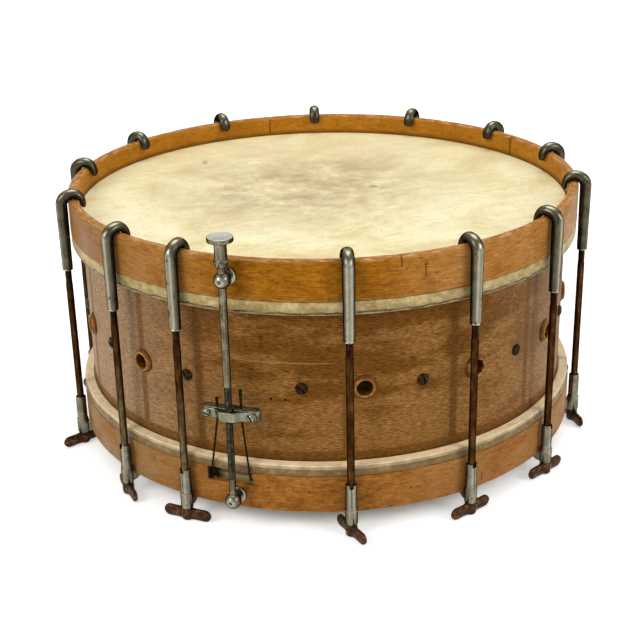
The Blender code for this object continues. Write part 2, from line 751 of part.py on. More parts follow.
def make_strainer_rod(shop, nickel):
    """The strainer's rod and the knob on its top, which turn together."""
    knob_foot = UPPER_POST_LEVEL + POST_BALL + KNOB_STAND
    neck_foot = knob_foot + KNOB_TAPER_LENGTH + KNOB_COLLAR_HEIGHT
    neck_top = neck_foot + KNOB_NECK_LENGTH
    knob_top = neck_top + KNOB_DISC
    bevel = KNOB_DISC / 7
    bore = STRAINER_ROD_NECK + GAP
    profile = [
        (0.0, knob_top),
        (KNOB_RADIUS - bevel, knob_top),
        (KNOB_RADIUS, knob_top - bevel),
        (KNOB_RADIUS, neck_top + bevel),
        (KNOB_RADIUS - bevel, neck_top),
        (KNOB_NECK_TOP, neck_top),
        (KNOB_NECK_BOTTOM, neck_foot),
        (KNOB_COLLAR, neck_foot),
        (KNOB_COLLAR, neck_foot - KNOB_COLLAR_HEIGHT),
        (KNOB_TAPER_TOP, neck_foot - KNOB_COLLAR_HEIGHT),
        (KNOB_TAPER_BOTTOM, knob_foot),
        (bore, knob_foot),
        (bore, knob_foot + KNOB_BORE_DEPTH),
        (0.0, knob_foot + KNOB_BORE_DEPTH),
    ]
    centre = turn_to(STRAINER_ANGLE, STRAINER_CIRCLE)
    shop.publish(shop.turned("strainer_knob", profile, SMALL_STEPS, centre), nickel)
    ferrule_top = LOWER_POST_LEVEL + POST_BALL + FERRULE_LENGTH
    shoulder = knob_foot - GAP
    profile = [
        (0.0, knob_foot + KNOB_BORE_DEPTH - GAP),
        (STRAINER_ROD_NECK, knob_foot + KNOB_BORE_DEPTH - GAP),
        (STRAINER_ROD_NECK, shoulder),
        (STRAINER_ROD_RADIUS, shoulder),
        (STRAINER_ROD_RADIUS, ferrule_top),
        (FERRULE_RADIUS, ferrule_top),
        (FERRULE_RADIUS, LOWER_POST_LEVEL + GAP),
        (0.0, LOWER_POST_LEVEL + GAP),
    ]
    shop.publish(shop.turned("strainer_rod", profile, TUBE_STEPS, centre), nickel)


def make_strainer_clamp(shop, nickel):
    """The block that rides on the rod, the strap that closes on it, and their two screws."""
    centre = turn_to(STRAINER_ANGLE, STRAINER_CIRCLE, BLOCK_LEVEL)
    past = BLOCK_HEIGHT
    half_depth = (BLOCK_BACK - BLOCK_FRONT) / 2
    middle = (BLOCK_BACK + BLOCK_FRONT) / 2
    outline = [(x, y + middle) for x, y in stadium(BLOCK_HALF_LENGTH, half_depth)]
    block = shop.slab("strainer_block", outline, BLOCK_HEIGHT, centre)
    passage = shop.rod(
        "block_rod_notch", STRAINER_ROD_RADIUS + ROD_PLAY, -past, past, TUBE_STEPS, centre
    )
    cuts = [passage]
    for x in (STRAND_LEFT, STRAND_RIGHT):
        place = centre @ Matrix.Translation((x, STRAND_BACK, 0.0))
        cuts.append(
            shop.rod("strand_hole", STRAND_RADIUS + STRAND_PLAY, -past, past, TUBE_STEPS, place)
        )
    screw_places = {}
    for side, x in (("left", -CLAMP_SCREW_OFFSET), ("right", CLAMP_SCREW_OFFSET)):
        face = STRAINER_CIRCLE - BLOCK_FRONT + GAP + STRAP_THICKNESS
        place = turn_to(STRAINER_ANGLE, face, BLOCK_LEVEL)
        place = place @ Matrix.Translation((x, 0.0, 0.0)) @ Matrix.Rotation(math.radians(90.0), 4, "X")
        screw_places[side] = place
    hole_radius = CLAMP_SCREW_SHANK + GAP + GAP
    hole_depth = CLAMP_SCREW_LENGTH + STRAP_THICKNESS + GAP
    for side, place in screw_places.items():
        cuts.append(
            shop.rod(f"{side}_block_hole", hole_radius, -hole_depth, past, TUBE_STEPS, place)
        )
    shop.publish(shop.combine(block, cuts, "DIFFERENCE"), nickel)
    bow_height = STRAINER_ROD_RADIUS + ROD_PLAY + BLOCK_FRONT - GAP
    outline = bowed_outline(
        STRAP_HALF_LENGTH, STRAP_BOW_HALF, STRAP_BOW_RUN, bow_height, GAP - BLOCK_FRONT, STRAP_THICKNESS
    )
    strap = shop.slab("strainer_strap", outline, BLOCK_HEIGHT, centre)
    ends = stadium(STRAP_HALF_LENGTH, BLOCK_HEIGHT / 2)
    stand = Matrix.Rotation(math.radians(90.0), 4, "X")
    limit = shop.slab("strap_ends", ends, 4 * BLOCK_BACK, centre @ stand)
    strap = shop.combine(strap, [limit], "INTERSECT")
    holes = [
        shop.rod(f"{side}_strap_hole", hole_radius, -past, past, TUBE_STEPS, place)
        for side, place in screw_places.items()
    ]
    shop.publish(shop.combine(strap, holes, "DIFFERENCE"), nickel)
    tip = -STRAP_THICKNESS - CLAMP_SCREW_LENGTH
    screw = screw_outline(CLAMP_SCREW_HEAD, CLAMP_SCREW_DOME, CLAMP_SCREW_SHANK, GAP, tip)
    for side, place in screw_places.items():
        shop.publish(shop.turned(f"clamp_screw_{side}", screw, TUBE_STEPS, place), nickel)


def make_butt_strap(shop, nickel):
    """The bowed strap and screws that hold the strand's loop on the far side of the lower hoop."""
    centre = turn_to(BUTT_ANGLE, HOOP_OUTER, BUTT_LEVEL)
    bow_height = 2 * (STRAND_RADIUS + GAP)
    outline = bowed_outline(
        BUTT_HALF_LENGTH, BUTT_BOW_HALF, BUTT_BOW_RUN, bow_height, GAP, BUTT_THICKNESS
    )
    strap = shop.slab("butt_strap", outline, BUTT_HEIGHT, centre)
    screw = screw_outline(
        CLAMP_SCREW_HEAD, CLAMP_SCREW_DOME, SCREW_SHANK, BUTT_THICKNESS, -BUTT_SCREW_DEPTH
    )
    screws = [
        shop.turned("butt_screw", screw, TUBE_STEPS, outward(angle, HOOP_OUTER, BUTT_LEVEL))
        for angle in butt_screw_angles()
    ]
    shop.publish(shop.combine(strap, screws, "UNION"), nickel)


def strand_side(stub_top, x, gate_angle, butt_angle):
    """One half of the strand: clamp, gate, under the head, far gate and down to its loop."""
    block = turn_to(STRAINER_ANGLE, STRAINER_CIRCLE)
    block_top = BLOCK_LEVEL + BLOCK_HEIGHT / 2
    block_foot = BLOCK_LEVEL - BLOCK_HEIGHT / 2
    face = HOOP_OUTER + STRAND_RADIUS + STRAND_PLAY
    relief = (COLLAR_RADIUS + HOOP_OUTER - RELIEF_WALL) / 2
    step = 2 * STRAND_RADIUS
    under = SNARE_SKIN_FACE - STRAND_PLAY - STRAND_RADIUS
    over_floor = GATE_FLOOR + STRAND_RADIUS + STRAND_PLAY + step
    return [
        block @ Vector((x, STRAND_BACK, block_top + stub_top)),
        block @ Vector((x, STRAND_BACK, block_foot - step)),
        spot(gate_angle, face, SNARE_FLESH_BOTTOM),
        spot(gate_angle, face - step, over_floor + step),
        spot(gate_angle, relief, over_floor),
        spot(gate_angle, relief, under + step),
        spot(gate_angle, relief - step, under),
        spot(butt_angle, relief - step, under),
        spot(butt_angle, relief, under + step),
        spot(butt_angle, relief, over_floor),
        spot(butt_angle, face, over_floor),
        spot(butt_angle, face, BUTT_LEVEL),
    ]


def make_strand(shop, gut):
    """The gut strand, one length from the clamp's left side to its right."""
    left = strand_side(
        STRAND_LEFT_STUB, STRAND_LEFT, STRAND_LEFT_GATE_ANGLE, BUTT_ANGLE + STRAND_BUTT_SPREAD
    )
    right = strand_side(
        STRAND_RIGHT_STUB, STRAND_RIGHT, STRAND_RIGHT_GATE_ANGLE, BUTT_ANGLE - STRAND_BUTT_SPREAD
    )
    route = rounded_route(left + right[::-1])
    length = sum((b - a).length for a, b in zip(route, route[1:]))
    print(f"snare strand: {length:.3f} m long, {len(route)} points")
    strand = shop.tube("snare_strand", route, [STRAND_RADIUS] * len(route))
    shop.publish(strand, gut)


def main():
    clear_scene()
    shop = Workshop()
    maple = new_material("Amber maple", (0.43, 0.19, 0.052), 0.45)
    faded = new_material("Faded walnut", (0.25, 0.13, 0.062), 0.6)
    skin = new_material("Calfskin", (0.72, 0.62, 0.40), 0.5)
    nickel = new_material("Tarnished nickel", (0.36, 0.36, 0.30), 0.35, 1.0)
    steel = new_material("Rusted steel", (0.075, 0.045, 0.03), 0.6, 0.6)
    gut = new_material("Dark gut", (0.035, 0.022, 0.012), 0.5)
    make_shell(shop, faded)
    make_centre_ring(shop, steel)
    make_hoops(shop, maple)
    make_heads(shop, skin, maple)
    make_hooks(shop, nickel)
    make_claws(shop, nickel)
    make_rods(shop, steel)
    make_strainer_posts(shop, nickel)
    make_strainer_rod(shop, nickel)
    make_strainer_clamp(shop, nickel)
    make_butt_strap(shop, nickel)
    make_strand(shop, gut)


main()
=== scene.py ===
"""Antique single-tension snare drum: its visible surfaces, set on the drum's fixed frame.

Lengths are metres in the row frame: +Z up, the floor at z = 0, and the photograph taken from -Y.
Angles go round the drum from its front (-Y) towards its right (+X), in degrees.
"""

import math

import bmesh
import bpy
from bpy.props import FloatProperty, FloatVectorProperty, PointerProperty
from mathutils import Matrix, Vector, noise


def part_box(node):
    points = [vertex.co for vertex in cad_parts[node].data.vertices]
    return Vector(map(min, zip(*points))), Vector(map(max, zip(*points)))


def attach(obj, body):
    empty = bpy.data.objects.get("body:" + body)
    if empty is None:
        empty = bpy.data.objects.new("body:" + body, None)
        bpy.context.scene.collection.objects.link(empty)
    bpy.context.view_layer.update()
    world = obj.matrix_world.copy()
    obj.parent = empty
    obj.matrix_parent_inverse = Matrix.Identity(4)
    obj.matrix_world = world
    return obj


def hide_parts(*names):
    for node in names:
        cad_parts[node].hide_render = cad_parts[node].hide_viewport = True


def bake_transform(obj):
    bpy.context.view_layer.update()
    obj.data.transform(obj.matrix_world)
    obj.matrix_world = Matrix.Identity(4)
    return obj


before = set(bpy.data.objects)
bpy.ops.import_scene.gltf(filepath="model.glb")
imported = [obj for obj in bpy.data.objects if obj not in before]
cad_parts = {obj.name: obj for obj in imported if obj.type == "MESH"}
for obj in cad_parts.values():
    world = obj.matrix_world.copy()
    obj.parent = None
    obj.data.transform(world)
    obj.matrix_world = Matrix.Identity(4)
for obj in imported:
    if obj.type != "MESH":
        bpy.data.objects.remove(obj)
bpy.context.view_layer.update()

bl_info = {
    "name": "Antique Snare Drum",
    "version": (1, 0, 0),
    "blender": (4, 5, 0),
    "location": "3D View > Sidebar > Drum",
    "description": "Builds the wood, skin and metal of an old snare drum on its frame",
    "category": "Add Mesh",
}

MM = 0.001


def heights(name):
    """The lowest and highest z of a node of the frame."""
    low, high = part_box(name)
    return low.z, high.z


# Heights and radii that the frame gives
BATTER_HOOP_BOTTOM, RIM = heights("batter_hoop")
SNARE_HOOP_BOTTOM, SNARE_HOOP_TOP = heights("snare_hoop")
BATTER_LAP_FOOT, BATTER_FACE = heights("batter_head")
SNARE_FACE, SNARE_LAP_TOP = heights("snare_head")
SHELL_BOTTOM, SHELL_TOP = heights("shell")
CLAW_BOTTOM, CLAW_TOP = heights("claw_01")
HOOK_END = heights("hook_01")[0]
ROD_TOP = heights("rod_01")[1]
KNOB_TOP = heights("strainer_knob")[1]
FITTINGS_LEVEL = sum(heights("centre_ring")) / 2
BLOCK_LEVEL = sum(heights("strainer_block")) / 2
UPPER_POST_LEVEL = sum(heights("strainer_upper_post")) / 2
LOWER_POST_LEVEL = sum(heights("strainer_lower_post")) / 2
BUTT_LEVEL = sum(heights("butt_strap")) / 2
HOOP_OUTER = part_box("batter_hoop")[1].x

# The drum's own sizes
GAP = 0.0003
HOOP_WALL = 0.0081
HOOP_INNER = HOOP_OUTER - HOOP_WALL
SKIN = 0.0006
COLLAR_RADIUS = HOOP_INNER - GAP
SHELL_RADIUS = COLLAR_RADIUS - SKIN - GAP
SHELL_WALL = 0.0055
LAP_OUTER = HOOP_OUTER - GAP
ROD_CIRCLE = HOOP_OUTER + 0.0057
STRAINER_REACH = 0.0107
STRAINER_CIRCLE = HOOP_OUTER + STRAINER_REACH
GATE_DEPTH = 0.0105
GATE_FLOOR = SNARE_HOOP_TOP - GATE_DEPTH
GATE_RELIEF = HOOP_OUTER - 0.0049
BALL_RADIUS = 0.00625
BLOCK_HALF_HEIGHT = 0.00375
STRAINER_BORE = 0.0034
THREAD_RADIUS = 0.0028
THREAD_PITCH = 0.00106
STRAND_PLACES = (-0.0115, 0.0075)
STRAND_BACK = 0.0055

# Angles of what stands round the drum
ROD_ANGLES = (4.4, 30.0, 54.0, 81.0, 105.6, 129.9, 155.1, 181.9, 207.6, 234.3, 260.1, 285.7, 312.7, 330.0)
HANDLE_YAWS = (-60.3, 39.6, 42.9, -74.9, 12.0, -48.0, 70.0, 57.0, -33.0, 58.0, -47.0, 41.3, -65.1, -23.2)
FITTING_COUNT = 14
FITTING_PITCH = 360.0 / FITTING_COUNT
VENT_ANGLE = 7.8
VENT_MISSING = 13
SHELL_SCREW_ANGLE = -5.2
STRAINER_ANGLE = -18.7
GATE_ANGLE = -20.3
BUTT_ANGLE = 163.0

# Fineness of the meshes
RING_STEPS = 288
TUBE_STEPS = 24
SMOOTH_ANGLE = math.radians(38.0)


# Placing


def turn_to(angle, radius=0.0, height=0.0):
    """The place at an angle round the drum, with local -Y outward and local +X to the right."""
    turn = Matrix.Rotation(math.radians(angle), 4, "Z")
    return turn @ Matrix.Translation((0.0, -radius, height))


def outward(angle, radius, height):
    """The same place for a turned piece whose own +Z points outward."""
    return turn_to(angle, radius, height) @ Matrix.Rotation(math.radians(90.0), 4, "X")


def spot(angle, radius, height):
    """A point at an angle round the drum."""
    return turn_to(angle, radius, height).translation


def fitting_angles(first, missing=None):
    """The angles of a ring of fittings, with one left out if a number is given."""
    return [first + FITTING_PITCH * k for k in range(FITTING_COUNT) if k != missing]


def smooth(share):
    """A share from 0 to 1, eased at both ends."""
    share = min(1.0, max(0.0, share))
    return share * share * (3.0 - 2.0 * share)


def rough(x, y, z=0.0):
    """Noise from -1 to 1 at a point."""
    return noise.noise(Vector((x, y, z)))


# Meshes


class Surface:
    """Points and faces of one piece, gathered from rings of points."""

    def __init__(self):
        self.points = []
        self.faces = []

    def rings(self, rows, matrix=Matrix(), loop=False):
        """Stretches a skin over rings of points. A loop joins the last ring to the first."""
        start = len(self.points)
        count = len(rows[0])
        for row in rows:
            self.points += [matrix @ point for point in row]
        for index in range(len(rows) if loop else len(rows) - 1):
            near = start + index * count
            far = start + (index + 1) % len(rows) * count
            for step in range(count):
                after = (step + 1) % count
                self.faces.append((near + step, near + after, far + after, far + step))
        if not loop:
            last = start + (len(rows) - 1) * count
            self.faces.append(tuple(range(start, start + count)))
            self.faces.append(tuple(range(last, last + count)))
        return self

    def mesh(self, other, matrix):
        """Adds a copy of a finished mesh."""
        start = len(self.points)
        self.points += [matrix @ vertex.co for vertex in other.vertices]
        self.faces += [tuple(start + i for i in face.vertices) for face in other.polygons]
        return self

    def build(self, name):
        """The mesh itself, with its faces pointing outward."""
        mesh = bpy.data.meshes.new(name)
        mesh.from_pydata(self.points, [], self.faces)
        work = bmesh.new()
        work.from_mesh(mesh)
        bmesh.ops.recalc_face_normals(work, faces=work.faces)
        work.to_mesh(mesh)
        work.free()
        return mesh


def placed(name, data):
    """An object of the scene that holds a mesh, a lamp or a camera."""
    made = bpy.data.objects.new(name, data)
    bpy.context.scene.collection.objects.link(made)
    return made


def cut(mesh, cutters):
    """The mesh with the cutters taken out of it."""
    made = placed("blank", mesh)
    tools = []
    for cutter in cutters:
        tool = placed("cutter", cutter.build("cutter"))
        step = made.modifiers.new("Cut", "BOOLEAN")
        step.operation = "DIFFERENCE"
        step.solver = "EXACT"
        step.object = tool
        tools.append(tool)
    graph = bpy.context.evaluated_depsgraph_get()
    result = bpy.data.meshes.new_from_object(made.evaluated_get(graph), depsgraph=graph)
    for thing in [made, *tools]:
        bpy.data.objects.remove(thing, do_unlink=True)
    return result


def piece(name, mesh, material, body="root", replaces=()):
    """Puts a mesh in the scene as one piece that moves with a body of the frame."""
    mesh.name = name
    mesh.materials.clear()
    mesh.materials.append(material)
    mesh.shade_smooth()
    mesh.set_sharp_from_angle(angle=SMOOTH_ANGLE)
    made = placed(name, mesh)
    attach(made, body)
    if replaces:
        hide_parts(*replaces)
    return made


def turned(profile, steps, shape=None):
    """Rings round local Z through (radius, height) points. shape may move each point."""
    rows = []
    for radius, height in profile:
        row = []
        for step in range(steps):
            angle = 2.0 * math.pi * step / steps
            far, up = shape(radius, height, angle) if shape else (radius, height)
            row.append(Vector((far * math.cos(angle), far * math.sin(angle), up)))
        rows.append(row)
    return rows


def swept(route, widths, depths, side, steps=TUBE_STEPS):
    """Oval rings along a route. side is the way of the first oval's width, and turns with the route."""
    rows = []
    for index, (point, width, depth) in enumerate(zip(route, widths, depths)):
        ahead = (route[min(index + 1, len(route) - 1)] - route[max(index - 1, 0)]).normalized()
        side = (side - ahead * side.dot(ahead)).normalized()
        up = ahead.cross(side)
        row = []
        for step in range(steps):
            angle = 2.0 * math.pi * step / steps
            row.append(point + side * (width * math.cos(angle)) + up * (depth * math.sin(angle)))
        rows.append(row)
    return rows


def prism(outline, width, matrix):
    """A flat outline of (x, y) points made into a block, with its width centred on local Z."""
    rows = []
    for z in (-width / 2, width / 2):
        rows.append([Vector((x, y, z)) for x, y in outline])
    return Surface().rings(rows, matrix)


def bar(half_width, low, high):
    """The outline of a bar between two values of y."""
    return [(-half_width, low), (half_width, low), (half_width, high), (-half_width, high)]


def arc(centre_x, centre_y, radius, start, end, steps):
    """Points of an arc in a plane, with its angles in degrees."""
    points = []
    for step in range(steps + 1):
        angle = math.radians(start + (end - start) * step / steps)
        points.append((centre_x + radius * math.cos(angle), centre_y + radius * math.sin(angle)))
    return points


def ring_section(inner, outer, low, high, top_round, low_round, steps=4):
    """A ring's closed section with rounded corners, clockwise from its top inner corner."""
    points = arc(outer - top_round, high - top_round, top_round, 90, 0, steps)
    middle = (high + low) / 2
    points.append((outer, middle))
    points += arc(outer - low_round, low + low_round, low_round, 0, -90, steps)
    points += arc(inner + low_round, low + low_round, low_round, -90, -180, steps)
    points.append((inner, middle))
    points += arc(inner + top_round, high - top_round, top_round, 180, 90, steps)
    return points


# Materials


def colour(text):
    """An sRGB hex colour as linear red, green, blue and alpha."""
    channels = [int(text[i : i + 2], 16) / 255 for i in (0, 2, 4)]
    linear = [c / 12.92 if c <= 0.04045 else ((c + 0.055) / 1.055) ** 2.4 for c in channels]
    return (*linear, 1.0)


# A range that is eased at both ends, and a mix of colours
EASED = {"interpolation_type": "SMOOTHSTEP"}
TONED = {"data_type": "RGBA"}


def output(source):
    """The socket that a node gives its value from. A socket stands for itself."""
    return next(s for s in source.outputs if s.enabled) if isinstance(source, bpy.types.Node) else source


def node(tree, kind, inputs=(), stops=(), **settings):
    """Adds a shader node and sets it up. inputs feed its open sockets, by name or in their order."""
    made = tree.nodes.new("ShaderNode" + kind)
    for name, value in settings.items():
        setattr(made, name, value)
    stops = list(stops)
    if stops:
        elements = made.color_ramp.elements
        while len(elements) < len(stops):
            elements.new(0.5)
        for element, (position, tone) in zip(elements, stops):
            element.position = position
            element.color = colour(tone) if isinstance(tone, str) else tone
    sockets = [socket for socket in made.inputs if socket.enabled]
    if isinstance(inputs, dict):
        fed = [(next(s for s in sockets if s.name == name), value) for name, value in inputs.items()]
    else:
        fed = zip(sockets, inputs)
    for socket, value in fed:
        value = output(value)
        if isinstance(value, bpy.types.NodeSocket):
            tree.links.new(value, socket)
        else:
            socket.default_value = colour(value) if isinstance(value, str) else value
    return made


def blank_material(name, **sockets):
    """A material with its Principled shader, and the row-frame position that its patterns use."""
    material = bpy.data.materials.new(name)
    material.use_nodes = True
    tree = material.node_tree
    shader = tree.nodes["Principled BSDF"]
    for socket, value in sockets.items():
        shader.inputs[socket.replace("_", " ")].default_value = value
    return material, tree, shader, node(tree, "TexCoord").outputs["Object"]


def finish(tree, shader, tone, roughness=None, relief=None, strength=0.0, depth=0.0):
    """Feeds a material's shader with its colour and, where they vary, its roughness and its relief."""
    feeds = {"Base Color": tone, "Roughness": roughness}
    if relief is not None:
        feeds["Normal"] = node(tree, "Bump", {"Height": relief, "Strength": strength, "Distance": depth})
    for name, source in feeds.items():
        if source is not None:
            tree.links.new(output(source), shader.inputs[name])


def blotches(tree, place, sizes, detail=2.0, roughness=0.5):
    """Cloudy noise whose blotches have these three sizes in millimetres."""
    scaled = node(tree, "VectorMath", [place, [1 / (size * MM) for size in sizes]], operation="MULTIPLY")
    return node(
        tree, "TexNoise", {"Vector": scaled, "Scale": 1.0, "Detail": detail, "Roughness": roughness}
    )


def coat(tree, ground, tone, pattern, none, full, most=1.0, within=()):
    """Lays a tone over a ground: nothing where the pattern has its first value, the most at the second."""
    share = node(tree, "MapRange", [pattern, none, full, 0.0, most])
    for limit in within:
        share = node(tree, "Math", [share, limit], operation="MULTIPLY")
    return node(tree, "Mix", [share, ground, tone], **TONED)


def from_axis(tree, position):
    """How far a point is from the drum's axis."""
    flat = node(tree, "VectorMath", [position, (1.0, 1.0, 0.0)], operation="MULTIPLY")
    return node(tree, "VectorMath", [flat], operation="LENGTH")


def bearing_from(tree, position, angle):
    """A point's bearing in radians once the drum is turned by an angle, and its height."""
    turned_round = node(
        tree, "VectorRotate", {"Vector": position, "Angle": math.radians(angle)}, rotation_type="Z_AXIS"
    )
    apart = node(tree, "SeparateXYZ", [turned_round])
    bearing = node(tree, "Math", [apart.outputs["Y"], apart.outputs["X"]], operation="ARCTAN2")
    return bearing, apart.outputs["Z"]


def bent_position(tree, position, seam):
    """Where a point lies on bent wood: how far along the bend, its height and its radius, in metres."""
    bearing, height = bearing_from(tree, position, -seam - 90.0)
    radius = from_axis(tree, position)
    along = node(tree, "Math", [bearing, SHELL_RADIUS], operation="MULTIPLY")
    place = node(tree, "CombineXYZ", [along, height, radius])
    return place, height, radius


def bearing_share(tree, position, angle, half_width, soft):
    """1 on the sector round an angle of the drum and 0 away from it, with soft sides, in degrees."""
    bearing, _ = bearing_from(tree, position, 90.0 - angle)
    away = node(tree, "Math", [bearing], operation="ABSOLUTE")
    edges = [math.radians(half_width + soft), math.radians(half_width)]
    return node(tree, "MapRange", [away, *edges], **EASED)


def marked(tree, position, height, angle, half_angle, low, high, soft=0.0006):
    """1 on a small mark at an angle of the drum, between two heights, and 0 away from it."""
    least_fade = 0.12
    across = bearing_share(tree, position, angle, half_angle, max(least_fade, 0.6 * half_angle))
    above = node(tree, "MapRange", [height, low - soft, low + soft])
    below = node(tree, "MapRange", [height, high + soft, high - soft])
    inside = node(tree, "Math", [above, below], operation="MULTIPLY")
    return node(tree, "Math", [across, inside], operation="MULTIPLY")


def off_line(tree, place, height, level, sway, per_metre, detail, roughness=0.5):
    """How far a point is from a line round the drum that wanders up and down from its level."""
    wander = {"Vector": place, "Scale": per_metre, "Detail": detail, "Roughness": roughness}
    wander = node(tree, "MapRange", [node(tree, "TexNoise", wander), 0.3, 0.7, -sway, sway])
    wandered = node(tree, "Math", [height, wander], operation="ADD")
    off = node(tree, "Math", [wandered, level], operation="SUBTRACT")
    return node(tree, "Math", [off], operation="ABSOLUTE")


def bent_maple(name, top, bottom, seam, tones, marks, soil=None):
    """Bent maple, steamed round a former, shellacked amber and handled until its edges wore pale, with a
    painted highlight along them.
    """
    material, tree, shader, position = blank_material(name, IOR=1.5, Specular_IOR_Level=0.08)
    look = bpy.context.scene.drum_colours
    place, height, radius = bent_position(tree, position, seam)
    # Growth lines run round the hoop, drawn 0.9 mm apart where the real ones are finer, and 11 mm long.
    grain = blotches(tree, place, (11.0, 0.9, 4.0), 7.0, 0.76)
    clouds = blotches(tree, place, (35.0, 22.0, 20.0), 6.0, 0.62)
    levels = (0.28, 0.5, 0.72)
    warm = node(tree, "ValToRGB", [grain], stops=zip(levels, tones["warm"]))
    deep = node(tree, "ValToRGB", [grain], stops=zip(levels, tones["deep"]))
    share = node(tree, "MapRange", [clouds, 0.38, 0.62], **EASED)
    wood = node(tree, "Mix", [share, warm, deep], **TONED)
    # Handling has mottled it, 3 to 8 mm at a time.
    mottle = blotches(tree, place, (7.0, 4.5, 6.0), 7.0, 0.74)
    wood = coat(tree, wood, tones["soiled"], mottle, 0.44, 0.62, 0.62)
    # The outer side turns honey at the right and front left, pinkish tan at the left and dusty at the far
    # right, in patches.
    outer = node(tree, "MapRange", [radius, HOOP_OUTER - 0.004, HOOP_OUTER - 0.001], **EASED)
    patches = node(tree, "MapRange", [clouds, 0.75, 0.35, 0.0, look.side_tint])
    for angle, half_width, soft, tone in (
        (46.0, 16.0, 24.0, "honey"), (-39.0, 7.0, 13.0, "honey"), (-72.0, 20.0, 28.0, "tan"),
        (90.0, 14.0, 26.0, "dusty"),
    ):
        here = bearing_share(tree, position, angle, half_width, soft)
        here = node(tree, "Math", [here, outer], operation="MULTIPLY")
        here = node(tree, "Math", [here, patches], operation="MULTIPLY", use_clamp=True)
        thinned = node(tree, "ValToRGB", [grain], stops=zip(levels, tones[tone]))
        wood = node(tree, "Mix", [here, wood, thinned], **TONED)
    # Light has darkened the inner side less.
    within = node(tree, "MapRange", [radius, HOOP_INNER + 0.003, HOOP_INNER + 0.001])
    kept = node(tree, "ValToRGB", [grain], stops=zip(levels, tones["inside"]))
    kept_part = node(tree, "MapRange", [clouds, 0.25, 0.6, 1.0, 0.4])
    kept_here = node(tree, "Math", [within, kept_part], operation="MULTIPLY", use_clamp=True)
    wood = node(tree, "Mix", [kept_here, wood, kept], **TONED)
    # The edges are painted pale in places, partly wear and partly a painted highlight, and bruised dark in
    # others, a few millimetres at a time.
    bruises = blotches(tree, place, (11.0, 2.2, 3.0), 6.0, 0.78)
    edge_top = node(tree, "MapRange", [height, top - 0.0026, top - 0.0006], **EASED)
    edge_low = node(tree, "MapRange", [height, bottom + 0.0018, bottom + 0.0004], **EASED)
    edges = node(tree, "Math", [edge_top, edge_low], operation="MAXIMUM")
    wear_and_light_share = node(tree, "MapRange", [bruises, 0.38, 0.5, 0.0, look.edge_wear_and_highlight])
    edges = node(tree, "Math", [edges, wear_and_light_share], operation="MULTIPLY", use_clamp=True)
    pale = node(
        tree, "ValToRGB", [bruises],
        stops=[(0.38, "4f2a10"), (0.46, "96602c"), (0.55, "bf8a50"), (0.7, "dcb083")],
    )
    wood = node(tree, "Mix", [edges, wood, pale], **TONED)
    # Open pores and old dents, 1 to 4 mm long, have filled with dirt.
    pits = blotches(tree, place, (4.0, 2.2, 4.0), 7.0, 0.8)
    dirt = node(tree, "MapRange", [pits, 0.575, 0.64, 0.0, 0.9])
    wood = node(tree, "Mix", [dirt, wood, "3d2008"], **TONED)
    # A few scratches slant across it.
    slant = node(
        tree, "VectorRotate", {"Vector": place, "Angle": math.radians(24.0)}, rotation_type="Z_AXIS"
    )
    scratches = blotches(tree, slant, (20.0, 1.1, 20.0), 3.0, 0.5)
    wood = coat(tree, wood, "4f2c0c", scratches, 0.70, 0.76, 0.6)
    # Short cracks, the ends of the bent strip and spilt stain.
    for angle, half_angle, low, high, strength, tone in marks:
        mark = marked(tree, position, height, angle, half_angle, low, high)
        mark = node(tree, "Math", [mark, strength], operation="MULTIPLY")
        wood = node(tree, "Mix", [mark, wood, tone], **TONED)
    if soil is not None:
        # Grime has gathered where the inner side meets the head.
        low = node(tree, "MapRange", [height, soil + 0.0050, soil + 0.0004, 0.0, 0.7], **EASED)
        grime = node(tree, "Math", [low, within], operation="MULTIPLY")
        wood = node(tree, "Mix", [grime, wood, "5f3606"], **TONED)
    gloss = node(tree, "MapRange", [clouds, 0.3, 0.7, 0.36, 0.56])
    relief = node(tree, "Math", [grain, dirt], operation="SUBTRACT")
    finish(tree, shader, wood, gloss, relief, 0.25, 0.0004)
    return material


